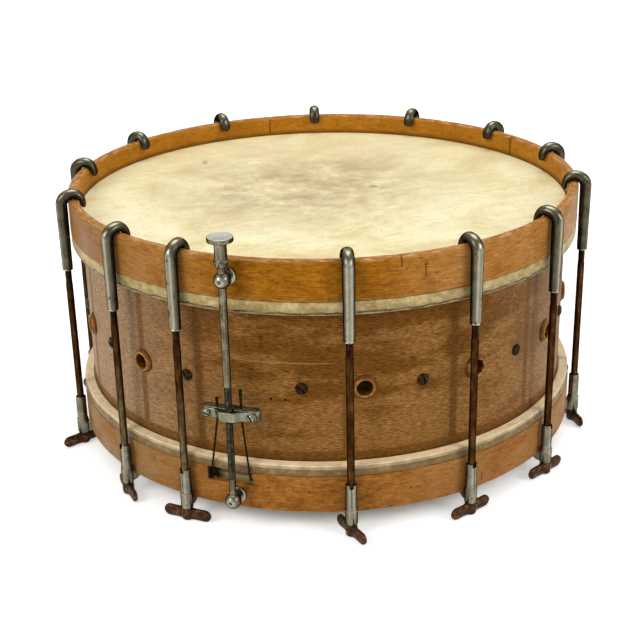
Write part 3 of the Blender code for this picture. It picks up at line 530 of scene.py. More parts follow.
def faded_shell():
    """A bent shell whose stain has faded in the light, with its pores filled dark."""
    material, tree, shader, position = blank_material(
        "faded_bent_shell", Roughness=0.55, IOR=1.5, Specular_IOR_Level=0.1
    )
    look = bpy.context.scene.drum_colours
    place, height, _ = bent_position(tree, position, 180.0)
    # Open pores, drawn 0.6 mm apart up the shell where the real ones are finer, and 4.5 mm long round it.
    grain = blotches(tree, place, (4.5, 0.6, 4.0), 6.0, 0.72)
    bands = blotches(tree, place, (50.0, 18.0, 10.0), 6.0, 0.6)
    brown, pink, dusty, gold = (
        node(tree, "ValToRGB", [grain], stops=zip((0.36, 0.5, 0.64), tones))
        for tones in (
            ("3b1f00", look.shell_wood, "8c5a18"), ("5c340c", "8c5e28", "b7884e"),
            ("7a5836", "a3845f", "c8ad8c"), ("4c2b06", "6e4412", "8a5c22"),
        )
    )
    # The varnish is thinner towards the foot.
    foot = node(tree, "MapRange", [height, SHELL_TOP, SHELL_BOTTOM, -0.14, 0.24])
    bands = node(tree, "Math", [bands, foot], operation="ADD")
    share = node(tree, "MapRange", [bands, 0.44, 0.62], **EASED)
    wood = node(tree, "Mix", [share, brown, pink], **TONED)
    # The left and right sides have bleached to a dusty tan.
    left = bearing_share(tree, position, -76.0, 16.0, 42.0)
    right = bearing_share(tree, position, 76.0, 12.0, 34.0)
    right = node(tree, "Math", [right, 0.4], operation="MULTIPLY")
    sides = node(tree, "Math", [left, right], operation="MAXIMUM")
    bleached = node(tree, "Math", [sides, 0.85], operation="MULTIPLY")
    wood = node(tree, "Mix", [bleached, wood, dusty], **TONED)
    # Darker gold stripes lie by the rods, a little towards the front for those in front, and a gold band
    # runs just above the lower lap.
    kept = node(tree, "MapRange", [height, SNARE_LAP_TOP + 0.0095, SNARE_LAP_TOP + 0.0060], **EASED)
    for angle in ROD_ANGLES:
        bearing = (angle + 180.0) % 360.0 - 180.0
        stripe = bearing_share(tree, position, 0.93 * bearing if abs(bearing) < 90.0 else angle, 0.55, 0.7)
        kept = node(tree, "Math", [kept, stripe], operation="MAXIMUM")
    kept = node(tree, "Math", [kept, look.stripes], operation="MULTIPLY")
    wood = node(tree, "Mix", [kept, wood, gold], **TONED)
    # Scuffs and spilt stain, 1 to 5 mm across.
    scuffs = blotches(tree, place, (5.0, 2.5, 4.0), 7.0, 0.78)
    wood = coat(tree, wood, "3a220e", scuffs, 0.62, 0.70, 0.75)
    # A hair crack with raised, pale lips runs along the front, 20 mm above the vents.
    off = off_line(tree, place, height, FITTINGS_LEVEL + 0.020, 0.0012, 40.0, 4.0)
    in_front = bearing_share(tree, position, -9.0, 9.0, 3.0)
    wood = coat(tree, wood, "a9834a", off, 0.0007, 0.0002, 0.7, [in_front])
    finish(tree, shader, wood, relief=grain, strength=0.35, depth=0.0003)
    return material


def calfskin():
    """Calfskin, limed, scraped and dried under tension: cream, clouded grey where sticks have been."""
    material, tree, shader, position = blank_material(
        "calfskin", Roughness=0.5, IOR=1.5, Specular_IOR_Level=0.3, Subsurface_Weight=0.3,
        Subsurface_Scale=0.002, Subsurface_Radius=(1.0, 0.9, 0.6),
    )
    look = bpy.context.scene.drum_colours
    # Cloudy growth of 20 to 90 mm, with streaks where it was scraped, and a fleck every few millimetres.
    clouds = node(
        tree, "TexNoise",
        {"Vector": position, "Scale": 11.0, "Detail": 10.0, "Roughness": 0.72, "Distortion": 0.5},
    )
    cream = node(
        tree, "ValToRGB", [clouds],
        stops=[(0.32, "d3bd86"), (0.43, "e6d49f"), (0.54, look.skin), (0.7, "fdf4cc")],
    )
    turned_round = node(
        tree, "VectorRotate", {"Vector": position, "Angle": math.radians(-24.0)}, rotation_type="Z_AXIS"
    )
    streaks = blotches(tree, turned_round, (45.0, 9.0, 1000.0), 9.0, 0.74)
    skin = coat(tree, cream, "dac691", streaks, 0.50, 0.66, 0.6)
    skin = coat(tree, skin, "a98a5a", streaks, 0.66, 0.74, 0.55)
    # The playing area, a hand's width left of the middle, has greyed.
    middle = node(tree, "VectorMath", [position, (-0.015, 0.030, BATTER_FACE)], operation="DISTANCE")
    near = node(tree, "MapRange", [middle, 0.17, 0.03], **EASED)
    soot = node(tree, "TexNoise", {"Vector": position, "Scale": 19.0, "Detail": 10.0, "Roughness": 0.74})
    skin = coat(tree, skin, "a98f62", soot, 0.36, 0.60, 0.95, [near])
    # Towards the far side dust lies on it.
    apart = node(tree, "SeparateXYZ", [position])
    skin = coat(tree, skin, "ddcb9c", apart.outputs["Y"], 0.02, 0.16, 0.35)
    fine = node(tree, "TexNoise", {"Vector": position, "Scale": 300.0, "Detail": 5.0, "Roughness": 0.75})
    skin = coat(tree, skin, "b5a474", fine, 0.54, 0.70, 0.5)
    # Brown spots about 3 mm across lie scattered, in one cell of seven.
    cells = node(tree, "TexVoronoi", {"Vector": position, "Scale": 28.0})
    rare = node(tree, "SeparateColor", [cells.outputs["Color"]])
    rare = node(tree, "Math", [rare.outputs["Red"], 0.86], operation="GREATER_THAN")
    skin = coat(tree, skin, "8a5a2a", cells.outputs["Distance"], 0.055, 0.03, 1.0, [rare])
    # One brown burn lies right of the middle, and a dark twig-shaped mark left of it.
    burn_at = node(tree, "VectorMath", [position, (0.0434, 0.0200, BATTER_FACE)], operation="DISTANCE")
    skin = coat(tree, skin, "8a6233", burn_at, 0.0050, 0.0015, 0.7)
    twig_at = node(tree, "VectorMath", [position, (0.1083, -0.1061, -BATTER_FACE)], operation="ADD")
    twig_at = node(tree, "VectorMath", [twig_at, (1 / 0.0035, 1 / 0.010, 1.0)], operation="MULTIPLY")
    twig_off = node(tree, "VectorMath", [twig_at], operation="LENGTH")
    broken = node(tree, "MapRange", [fine, 0.46, 0.52, 0.0, 0.75])
    skin = coat(tree, skin, "7d6a44", twig_off, 1.0, 0.5, 1.0, [broken])
    # The lower head's collar, seen through the gates, is painted a shaded brown, a painted shade, with a
    # dark band 4 mm up its tucked edge that is a painted shadow line.
    collar = node(
        tree, "MapRange", [from_axis(tree, position), COLLAR_RADIUS - 0.002, COLLAR_RADIUS - 0.0005]
    )
    up_gate = node(tree, "MapRange", [apart.outputs["Z"], GATE_FLOOR, SNARE_HOOP_TOP])
    painted_gate_shade = node(
        tree, "ValToRGB", [up_gate],
        stops=[(0.0, "a08a58"), (0.26, "b39e6e"), (0.36, "3c2e12"), (0.5, "5f4d28"), (1.0, "a08858")],
    )
    low = SNARE_HOOP_TOP + 0.004
    skin = coat(tree, skin, painted_gate_shade, apart.outputs["Z"], low, SNARE_HOOP_TOP, 0.92, [collar])
    finish(tree, shader, skin, relief=fine, strength=0.2, depth=0.0002)
    return material


def lapped_skin(name, near, far, fold, darkest_far, dark, crown, side):
    """Wet calfskin tucked round its flesh hoop and dried there: yellowed, and dark with glue at its fold."""
    material, tree, shader, position = blank_material(
        name, Roughness=0.48, IOR=1.5, Specular_IOR_Level=0.35
    )
    place, height, radius = bent_position(tree, position, 180.0)
    mottle = blotches(tree, place, (7.0, 6.0, 5.0), 8.0, 0.62)
    sides, crowns = (
        node(tree, "ValToRGB", [mottle], stops=zip((0.32, 0.5, 0.68), tones)) for tones in (side, crown)
    )
    # The flat face towards the shell is painted paler, a painted highlight, and the side darker, a painted
    # shade.
    lit_face_share = node(tree, "MapRange", [radius, LAP_OUTER - 0.0001, LAP_OUTER - 0.0012], **EASED)
    skin = node(tree, "Mix", [lit_face_share, sides, crowns], **TONED)
    # The side darkens towards its lower edge: the fold's on the batter lap and the hoop's on the snare lap.
    clean, soiled = (near * 0.7 + far * 0.3, far) if darkest_far else (near * 0.4 + far * 0.6, near)
    outside = node(tree, "Math", [1.0, lit_face_share], operation="SUBTRACT")
    skin = coat(tree, skin, "6a552c", height, clean, soiled, 0.45, [outside])
    # A dark line of glue and dirt lies along the fold.
    off = off_line(tree, place, height, near * (1.0 - fold) + far * fold, 0.0011, 110.0, 6.0, 0.6)
    worn = node(tree, "MapRange", [mottle, 0.36, 0.52, 0.25])
    skin = coat(tree, skin, "3d2a08", off, 0.0014, 0.0005, dark, [worn])
    # Past the hoop's edge, where a gate shows it, the skin is painted brown, a painted shade in the gate's
    # recess.
    skin = coat(tree, skin, "7a6233", height, near, near * 1.1 - far * 0.1, 0.6)
    finish(tree, shader, skin, relief=mottle, strength=0.3, depth=0.0005)
    return material


def tarnished_nickel(name, dull, middle, bright, wear_and_light_share=0.0, foot=None, top=None, metallic=1.0):
    """Nickel plate on brass, dulled olive by a century of handling, still glossy, with worn dark spots."""
    # The tint takes the white sheen off the edges of a tube, as tarnish does.
    material, tree, shader, position = blank_material(
        name, Metallic=metallic, Specular_Tint=colour("6e6a5a")
    )
    clouds = node(tree, "TexNoise", {"Vector": position, "Scale": 120.0, "Detail": 7.0, "Roughness": 0.66})
    pits = node(tree, "TexNoise", {"Vector": position, "Scale": 480.0, "Detail": 5.0, "Roughness": 0.65})
    plate = node(tree, "ValToRGB", [clouds], stops=[(0.34, dull), (0.5, middle), (0.68, bright)])
    # What faces outward or up is painted bright, a painted highlight, and the flanks are painted dark, a
    # painted shade.
    normal = node(tree, "NewGeometry").outputs["Normal"]
    flat = node(tree, "VectorMath", [position, (1.0, 1.0, 0.0)], operation="MULTIPLY")
    away = node(tree, "VectorMath", [flat], operation="NORMALIZE")
    out = node(tree, "VectorMath", [normal, away], operation="DOT_PRODUCT").outputs["Value"]
    up = node(tree, "SeparateXYZ", [normal]).outputs["Z"]
    painted_light_facing = node(tree, "Math", [out, up], operation="MAXIMUM")
    tone = node(
        tree, "ValToRGB", [painted_light_facing],
        stops=[(0.0, "25221a"), (0.5, "38342a"), (0.78, "5b5746"), (0.93, "a39e8c"), (1.0, "7a7664")],
    )
    plate = node(tree, "Mix", [wear_and_light_share, plate, tone], **TONED)
    # Here and there the plate has gone in upright streaks, 3 to 10 mm long.
    streaks = blotches(tree, position, (3.0, 3.0, 9.0), 5.0, 0.6)
    plate = coat(tree, plate, "3b301c", streaks, 0.60, 0.67, 0.8)
    spots = node(tree, "MapRange", [pits, 0.61, 0.70, 0.0, 0.75])
    plate = node(tree, "Mix", [spots, plate, "332c1c"], **TONED)
    if top is not None:
        # The flat top, where the thumb rests, is painted near white, a painted reflection of the bright
        # light overhead.
        plate = coat(tree, plate, top, up, 0.80, 0.97)
    if foot is not None:
        # The lip at a tube's foot is rubbed bright.
        height = node(tree, "SeparateXYZ", [position]).outputs["Z"]
        plate = coat(tree, plate, "a39e8c", height, foot + 0.0010, foot + 0.0005)
    gloss = node(tree, "MapRange", [clouds, 0.3, 0.7, 0.32, 0.2])
    gloss = node(tree, "Math", [gloss, spots], operation="MAXIMUM")
    finish(tree, shader, plate, gloss, pits, 0.1, 0.0002)
    return material


def browned_rod():
    """Drawn rod whose plating has gone, leaving a close brown skin that still shines along the rod."""
    material, tree, shader, position = blank_material(
        "browned_drawn_rod", Metallic=1.0, Specular_Tint=colour("5a4630")
    )
    clouds = blotches(tree, position, (3.0, 3.0, 10.0), 6.0, 0.62)
    brown = node(tree, "ValToRGB", [clouds], stops=[(0.3, "231508"), (0.5, "38220e"), (0.72, "583d22")])
    # At the front left the lower half keeps some olive plate.
    height = node(tree, "SeparateXYZ", [position]).outputs["Z"]
    here = bearing_share(tree, position, -42.0, 20.0, 10.0)
    plate = node(tree, "ValToRGB", [clouds], stops=[(0.3, "3e3520"), (0.5, "5b5136"), (0.72, "837a5c")])
    brown = coat(tree, brown, plate, height, FITTINGS_LEVEL, SNARE_HOOP_TOP, 0.85, [here])
    dull = node(tree, "MapRange", [clouds, 0.3, 0.7, 0.46, 0.34])
    finish(tree, shader, brown, dull)
    return material


def rusted_iron():
    """Malleable iron under a close brown rust, rubbed smooth and lighter on its high spots."""
    material, tree, shader, position = blank_material(
        "rusted_malleable_iron", Metallic=0.55, Specular_IOR_Level=0.15
    )
    look = bpy.context.scene.drum_colours
    clouds = node(tree, "TexNoise", {"Vector": position, "Scale": 260.0, "Detail": 7.0, "Roughness": 0.68})
    rust = node(
        tree, "ValToRGB", [clouds],
        stops=[(0.32, "25150a"), (0.48, look.rust), (0.6, "5f3e20"), (0.76, "93795a")],
    )
    dull = node(tree, "MapRange", [clouds, 0.3, 0.7, 0.62, 0.36])
    finish(tree, shader, rust, dull, clouds, 0.35, 0.0003)
    return material


def speckled(name, per_metre, detail, stops, **sockets):
    """A finish whose tone varies with fine noise alone."""
    material, tree, shader, position = blank_material(name, **sockets)
    clouds = node(tree, "TexNoise", {"Vector": position, "Scale": per_metre, "Detail": detail})
    finish(tree, shader, node(tree, "ValToRGB", [clouds], stops=stops))
    return material


def black_thread(name, dark, middle, bright):
    """Cut thread, blackened by old grease."""
    stops = [(0.35, dark), (0.6, middle), (0.8, bright)]
    return speckled(name, 300.0, 4.0, stops, Metallic=1.0, Roughness=0.45)


def browned_screws():
    """Round-head steel wood screws, browned and dull."""
    stops = [(0.35, "1d130a"), (0.55, "332416"), (0.75, "554330")]
    return speckled("browned_steel_screw", 500.0, 4.0, stops, Metallic=1.0, Roughness=0.42)


def dried_gut():
    """Twisted gut, dried dark and dull, with specks as fine as its twist."""
    stops = [(0.3, "171205"), (0.6, "2c240f"), (0.8, "54462a")]
    return speckled("dried_gut", 1200.0, 3.0, stops, Roughness=0.6, IOR=1.5, Specular_IOR_Level=0.0)


def turned_bush_wood():
    """Bushes turned from hardwood and stained amber, with darker end grain and pale tool marks."""
    material, tree, shader, position = blank_material(
        "turned_stained_hardwood", Roughness=0.38, IOR=1.5, Specular_IOR_Level=0.15
    )
    clouds = node(tree, "TexNoise", {"Vector": position, "Scale": 330.0, "Detail": 5.0, "Roughness": 0.65})
    # The lip that stands farthest from the shell is rubbed pale, and the flange under it has stayed dark.
    proud = node(
        tree, "MapRange", [from_axis(tree, position), SHELL_RADIUS + 0.0016, SHELL_RADIUS + 0.0030]
    )
    dark = node(tree, "ValToRGB", [clouds], stops=[(0.3, "3f2005"), (0.5, "633808"), (0.72, "8a5a22")])
    pale = node(tree, "ValToRGB", [clouds], stops=[(0.3, "73430f"), (0.5, "a06a26"), (0.72, "d0a05a")])
    wood = node(tree, "Mix", [proud, dark, pale], **TONED)
    finish(tree, shader, wood, relief=clouds, strength=0.2, depth=0.0003)
    return material


def bare_ash():
    """Bent ash, left bare inside the lapped skin."""
    material, tree, shader, position = blank_material("bare_bent_ash", Roughness=0.7, IOR=1.5)
    place, _, _ = bent_position(tree, position, 180.0)
    grain = blotches(tree, place, (50.0, 1.0, 2.0), 4.0)
    wood = node(tree, "ValToRGB", [grain], stops=[(0.3, "8a6d42"), (0.7, "c4a472")])
    finish(tree, shader, wood)
    return material


# Pieces


def hoop_shape(seed, low, high):
    """How a counterhoop strays from true: a little out of round, and dented along its edges."""

    def shape(radius, height, angle):
        x, y = math.cos(angle), math.sin(angle)
        far = radius + 0.0002 * rough(3 * x, 3 * y, seed)
        edge = smooth((height - high + 0.004) / 0.004)
        dent = max(0.0, rough(34 * x, 34 * y, seed + 5) - 0.3)
        up = height + 0.0002 * edge * rough(4 * x, 4 * y, seed + 9) - 0.0009 * edge * dent
        foot = smooth((low + 0.003 - height) / 0.003)
        up += 0.0005 * foot * max(0.0, rough(24 * x, 24 * y, seed + 7) - 0.2)
        return far, up

    return shape


def hoop_mesh(name, low, high, top_round, low_round, steps, seed):
    """A bent counterhoop between two heights, with its edges rounded."""
    section = ring_section(HOOP_INNER, HOOP_OUTER, low, high, top_round, low_round, steps)
    rows = turned(section, RING_STEPS, hoop_shape(seed, low, high))
    return Surface().rings(rows, loop=True).build(name)


def build_hoops():
    """The two counterhoops."""
    look = bpy.context.scene.drum_colours
    tones = {
        "warm": ("784400", "ab6a04", "d4963a"),
        "deep": ("683900", look.hoop_wood, "c08420"),
        "soiled": "6a3a04",
        "honey": ("905c26", "bb8240", "dcab72"),
        "tan": ("755029", "8f673e", "a88358"),
        "dusty": ("937a5a", "b0977a", "c6b197"),
        "inside": ("a66a0c", "ba7d20", "ce9644"),
    }
    # Two cracks and a spill stand at the front right, and the strip's two joints at the back.
    marks = (
        (14.8, 0.10, RIM - 0.0075, RIM, 0.8, "4a2708"),
        (19.7, 0.10, RIM - 0.0170, RIM - 0.0065, 0.7, "54300f"),
        (20.9, 0.75, RIM - 0.0290, RIM - 0.0200, 0.3, "5a3208"),
        (-165.6, 0.12, BATTER_FACE, RIM - 0.0010, 0.8, "5a3208"),
        (122.0, 0.35, BATTER_FACE, RIM, 0.7, "5f3a12"),
    )
    wood = bent_maple("bent_maple_upper", RIM, BATTER_HOOP_BOTTOM, 162.0, tones, marks, BATTER_FACE)
    upper = hoop_mesh("counterhoop_upper", BATTER_HOOP_BOTTOM, RIM, 0.0030, 0.0012, 6, 1.7)
    piece("counterhoop_upper", upper, wood, replaces=["batter_hoop"])
    tones = {
        "warm": ("744410", "ad6e26", "cd9450"),
        "deep": ("643708", "9c601c", "bb823c"),
        "soiled": "60350c",
        "honey": ("8c5c2a", "a6733c", "bf8f58"),
        "tan": ("806038", "9b7a50", "b29369"),
        "dusty": ("8a683f", "a07f55", "b4966c"),
        "inside": ("8a5a28", "a06d38", "b07f4a"),
    }
    # A red-brown patch at the left, a scratch at the front right, and the black corner of the gate, a
    # painted shadow.
    marks = (
        (-63.5, 1.7, SNARE_HOOP_BOTTOM + 0.0040, SNARE_HOOP_BOTTOM + 0.0110, 0.5, "a05a28"),
        (34.0, 0.12, SNARE_HOOP_BOTTOM + 0.0050, SNARE_HOOP_BOTTOM + 0.0120, 0.7, "5a3312"),
        (GATE_ANGLE - 4.6, 0.5, GATE_FLOOR, SNARE_HOOP_TOP, 0.95, "120d07"),
    )
    wood = bent_maple(
        "bent_maple_lower", SNARE_HOOP_TOP + 0.002, SNARE_HOOP_BOTTOM, 200.0, tones, marks
    )
    lower = hoop_mesh("counterhoop_lower", SNARE_HOOP_BOTTOM, SNARE_HOOP_TOP, 0.0012, 0.0014, 4, 8.3)
    gates = [gate_cutter(GATE_ANGLE, 0.0178), gate_cutter(BUTT_ANGLE, 0.0080)]
    piece("counterhoop_lower", cut(lower, gates), wood, replaces=["snare_hoop"])


def gate_cutter(angle, half_width):
    """The notch that lets the strand under the head: open at the hoop's top, relieved inside."""
    inside = HOOP_INNER - HOOP_WALL
    outside = HOOP_OUTER + HOOP_WALL
    above = SNARE_HOOP_TOP + HOOP_WALL
    relief_low = SNARE_FACE - 0.0026
    outline = [
        (inside, above), (inside, relief_low), (GATE_RELIEF, relief_low), (GATE_RELIEF, GATE_FLOOR),
        (outside, GATE_FLOOR), (outside, above),
    ]
    stand = Matrix(((0, 0, 1, 0), (-1, 0, 0, 0), (0, 1, 0, 0), (0, 0, 0, 1)))
    return prism(outline, 2 * half_width, turn_to(angle) @ stand)


def build_shell():
    """The shell with its glue rings, vent bushes, inner ring and screws."""
    inner = SHELL_RADIUS - SHELL_WALL
    glue = inner - 0.0065
    glue_height = 0.0250
    edge = 0.0013
    section = arc(SHELL_RADIUS - edge, SHELL_TOP - edge, edge, 90, 0, 4)
    section += arc(SHELL_RADIUS - edge, SHELL_BOTTOM + edge, edge, 0, -90, 4)
    section += [
        (glue, SHELL_BOTTOM + edge), (glue, SHELL_BOTTOM + glue_height),
        (inner, SHELL_BOTTOM + glue_height), (inner, SHELL_TOP - glue_height),
        (glue, SHELL_TOP - glue_height), (glue, SHELL_TOP - edge),
    ]
    shell = Surface().rings(turned(section, RING_STEPS), loop=True).build("shell_body")
    # The inner ring has an opening behind each vent, as wide as the vent's flange.
    holes, bushes, openings = Surface(), Surface(), Surface()
    seat = 0.0075
    past = 2 * SHELL_WALL
    sizes = bpy.context.scene.drum_sizes
    bore = sizes.vent_bore
    lip = 0.0034
    flange = 0.0094
    rim = 0.0015
    section = [(bore, -SHELL_WALL)]
    section += arc(bore + 0.0007, lip - 0.0007, 0.0007, 180, 0, 6)
    section += [(0.0078, lip - 0.0011), (0.0081, rim + 0.0002)]
    section += arc(flange - 0.0008, rim - 0.0008, 0.0008, 90, 0, 4)
    section += [(flange, -0.0006), (seat - GAP, -0.0006), (seat - GAP, -SHELL_WALL)]
    for angle in fitting_angles(VENT_ANGLE, VENT_MISSING):
        place = outward(angle, SHELL_RADIUS, FITTINGS_LEVEL)
        holes.rings(turned([(seat, past), (seat, -past)], 36), place)
        bushes.rings(turned(section, 40), place, loop=True)
        openings.rings(turned([(flange, past), (flange, -2 * past)], 24), place)
    # Two old nail holes stand beside the strainer.
    for angle in (-11.7, -8.6):
        holes.rings(turned([(0.0011, past), (0.0011, -0.0025)], 12), outward(angle, SHELL_RADIUS, 0.106))
    shell = cut(shell, [holes])
    piece("shell_body", shell, faded_shell(), replaces=["shell"])
    piece("vent_bushes", bushes.build("vent_bushes"), turned_bush_wood())
    outer = inner - GAP
    section = ring_section(
        outer - 0.006, outer, FITTINGS_LEVEL - 0.0125, FITTINGS_LEVEL + 0.0125, 0.0005, 0.0005, 1
    )
    ring = Surface().rings(turned(section, RING_STEPS), loop=True).build("inner_ring")
    screws = Surface()
    screw = slotted_screw(sizes.screw_head, 0.0026, 0.0016, 0.009)
    steel = browned_screws()
    for number, angle in enumerate(fitting_angles(SHELL_SCREW_ANGLE)):
        place = outward(angle, SHELL_RADIUS + GAP / 2, FITTINGS_LEVEL)
        screws.mesh(screw, place @ Matrix.Rotation(2.4 * number + 0.9, 4, "Z"))
    piece("inner_ring", cut(ring, [openings]), steel, replaces=["centre_ring"])
    piece("shell_screws", screws.build("shell_screws"), steel)


def slotted_screw(head, dome, shank, length, slot=0.0012):
    """A round-head screw standing on local z = 0, with a slot across its head."""
    profile = [(0.0002, dome)]
    for step in range(1, 9):
        angle = math.radians(90.0 * step / 8)
        profile.append((head * math.sin(angle), dome * (0.12 + 0.88 * math.cos(angle))))
    profile += [(head, 0.0), (shank, 0.0), (shank, -length), (shank / 3, -length - shank)]
    screw = Surface().rings(turned(profile, 28)).build("screw")
    depth = dome * 0.65
    tool = prism(
        bar(slot / 2, -2 * head, 2 * head), 2 * dome, Matrix.Translation((0.0, 0.0, 2 * dome - depth))
    )
    return cut(screw, [tool])


def skin_section(face, near, far, fold):
    """A head's section: its top from the centre, its side, its lap round the flesh hoop and its back."""
    side = math.copysign(1.0, face - near)
    inner = SHELL_RADIUS + GAP
    points = [(0.002 + (COLLAR_RADIUS - 0.004) * step / 24, face) for step in range(25)]
    points += [
        (COLLAR_RADIUS - 0.0006, face), (COLLAR_RADIUS, face - side * 0.0007),
        (COLLAR_RADIUS, near + side * 0.0006), (COLLAR_RADIUS + 0.0006, near),
        ((COLLAR_RADIUS + LAP_OUTER) / 2, near), (LAP_OUTER - 0.0010, near),
        (LAP_OUTER - 0.0003, near - side * 0.0003), (LAP_OUTER, near - side * 0.0012),
        (LAP_OUTER + 0.0001, near * 0.6 + far * 0.4),
        (LAP_OUTER, near * (1.02 - fold) + far * (fold - 0.02)),
        (LAP_OUTER - 0.0005, near * (0.98 - fold) + far * (fold + 0.02)),
        (LAP_OUTER - 0.0004, near * 0.5 * (1.0 - fold) + far * 0.5 * (1.0 + fold)),
        (LAP_OUTER - 0.0009, far), (COLLAR_RADIUS + GAP, far), (COLLAR_RADIUS + GAP, far + side * SKIN),
        (LAP_OUTER - 0.0012, far + side * SKIN), (LAP_OUTER - 0.0012, near - side * SKIN),
        (inner, near - side * SKIN), (inner, face - side * SKIN),
    ]
    points += [(inner * (1 - step / 6) + 0.002 * step / 6, face - side * SKIN) for step in range(1, 7)]
    return points


def skin_shape(near, far, fold, seed):
    """How a head strays from true: a little slack on its face, and wrinkled round its flesh hoop."""

    def shape(radius, height, angle):
        x, y = math.cos(angle), math.sin(angle)
        if radius < COLLAR_RADIUS - 0.001:
            slack = 0.0002 * rough(14 * radius * x / COLLAR_RADIUS, 14 * radius * y, seed)
            return radius, height - abs(slack)
        if radius < LAP_OUTER - 0.0011:
            return radius, height
        along = (height - near) / (far - near)
        wave = rough(30 * x, 30 * y, seed) + 0.5 * rough(75 * x, 75 * y, seed)
        if fold - 0.12 < along < fold + 0.08:
            height += 0.0007 * wave
        return radius - 0.0003 * abs(rough(40 * x, 40 * y, seed + 3)) * smooth(along * 3), height

    return shape


def build_heads():
    """The two calfskin heads, each lapped round its flesh hoop."""
    skin = calfskin()
    # Each lap has three tones of its flat face, painted lit, and of its side, painted in shade, and says how
    # dark its fold is.
    heads = (
        ("batter", BATTER_FACE, BATTER_HOOP_BOTTOM - GAP, BATTER_LAP_FOOT, 0.84, 2.1, True, 0.95,
         ("a08a58", "bda873", "d2bf8e"), ("907a45", "b59e65", "d6c18d")),
        ("snare", SNARE_FACE, SNARE_HOOP_TOP + GAP, SNARE_LAP_TOP, 0.64, 6.4, False, 0.15,
         ("e9cb98", "fbe3b4", "fff0d0"), ("5f4720", "806438", "a88b59")),
    )
    for name, face, near, far, fold, seed, darkest_far, dark, crown, side in heads:
        rows = turned(skin_section(face, near, far, fold), RING_STEPS, skin_shape(near, far, fold, seed))
        head = Surface().rings(rows).build(f"calfskin_{name}")
        made = piece(f"calfskin_{name}", head, skin, replaces=[f"{name}_head"])
        lap = lapped_skin(f"lapped_calfskin_{name}", near, far, fold, darkest_far, dark, crown, side)
        made.data.materials.append(lap)
        for face_of in made.data.polygons:
            centre = face_of.center
            if math.hypot(centre.x, centre.y) > COLLAR_RADIUS + 0.0002:
                face_of.material_index = 1
    ash = bare_ash()
    for name in ("batter_flesh_hoop", "snare_flesh_hoop"):
        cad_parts[name].data.materials.clear()
        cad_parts[name].data.materials.append(ash)


def hook_route():
    """The hook's centre line in its own plane, with its half width and half thickness at each point."""
    # The bend is 4.1 mm thick from its middle at its crown, which clears the rim by the gap.
    drop = 0.0040
    crown = 0.0041
    base = RIM - drop
    rise = drop + crown + GAP
    outer, inner = 0.0092, 0.0080
    tube = 0.0047
    route, widths, depths = [], [], []
    foot = bpy.context.scene.drum_sizes.hook_foot
    for share in (0.0, 0.02, 0.04, 0.06, 0.2, 0.4, 0.6, 0.8, 1.0):
        radius = foot + (tube - foot) * smooth(share * 1.1 - 0.1)
        # A shallow groove sets off the lip at the foot.
        if 0.01 < share < 0.03:
            radius -= 0.0003
        route.append(Vector((0.0, 0.0, HOOK_END + (base - HOOK_END) * share)))
        widths.append(radius)
        depths.append(radius)
    bend = 26
    for step in range(1, bend + 1):
        share = step / bend
        turn = math.pi * share
        reach = outer if share <= 0.5 else inner
        route.append(Vector((0.0, outer - reach * math.cos(turn), base + rise * math.sin(turn))))
        widths.append(tube)
        swell = 0.0002 * math.sin(math.pi * min(1.0, 2.0 * share))
        depths.append(tube + swell - 0.0006 * smooth(share * 2) - 0.0017 * smooth(share * 2 - 1))
    for step in range(1, 10):
        share = step / 9
        route.append(Vector((0.0, outer + inner, base - 0.0032 * share)))
        cap = (1.0 - share**2.6) ** (1 / 2.2)
        widths.append(tube * (0.12 + 0.88 * cap))
        depths.append(0.0024 * (0.2 + 0.8 * cap))
    return route, widths, depths


def build_hooks():
    """The hooks over the upper counterhoop, open at the foot where their rods enter."""
    route, widths, depths = hook_route()
    side = Vector((1.0, 0.0, 0.0))
    bore = 0.0033
    depth = 0.0325
    inside = [(bore, HOOK_END + depth), (bore, HOOK_END + 0.0004), (0.0039, HOOK_END)]
    lip = [(widths[0] - 0.0004, HOOK_END), (widths[0], HOOK_END + 0.0006)]
    rows = turned(inside + lip, TUBE_STEPS)
    body = swept(route[1:], widths[1:], depths[1:], side)
    metal = tarnished_nickel(
        "nickel_plate_of_hooks", "59533f", bpy.context.scene.drum_colours.nickel, "9c9784", 0.8, HOOK_END
    )
    for number, angle in enumerate(ROD_ANGLES, start=1):
        surface = Surface().rings(rows + body, turn_to(angle, ROD_CIRCLE))
        name = f"cane_hook_{number:02d}"
        piece(name, surface.build(name), metal, replaces=[f"hook_{number:02d}"])


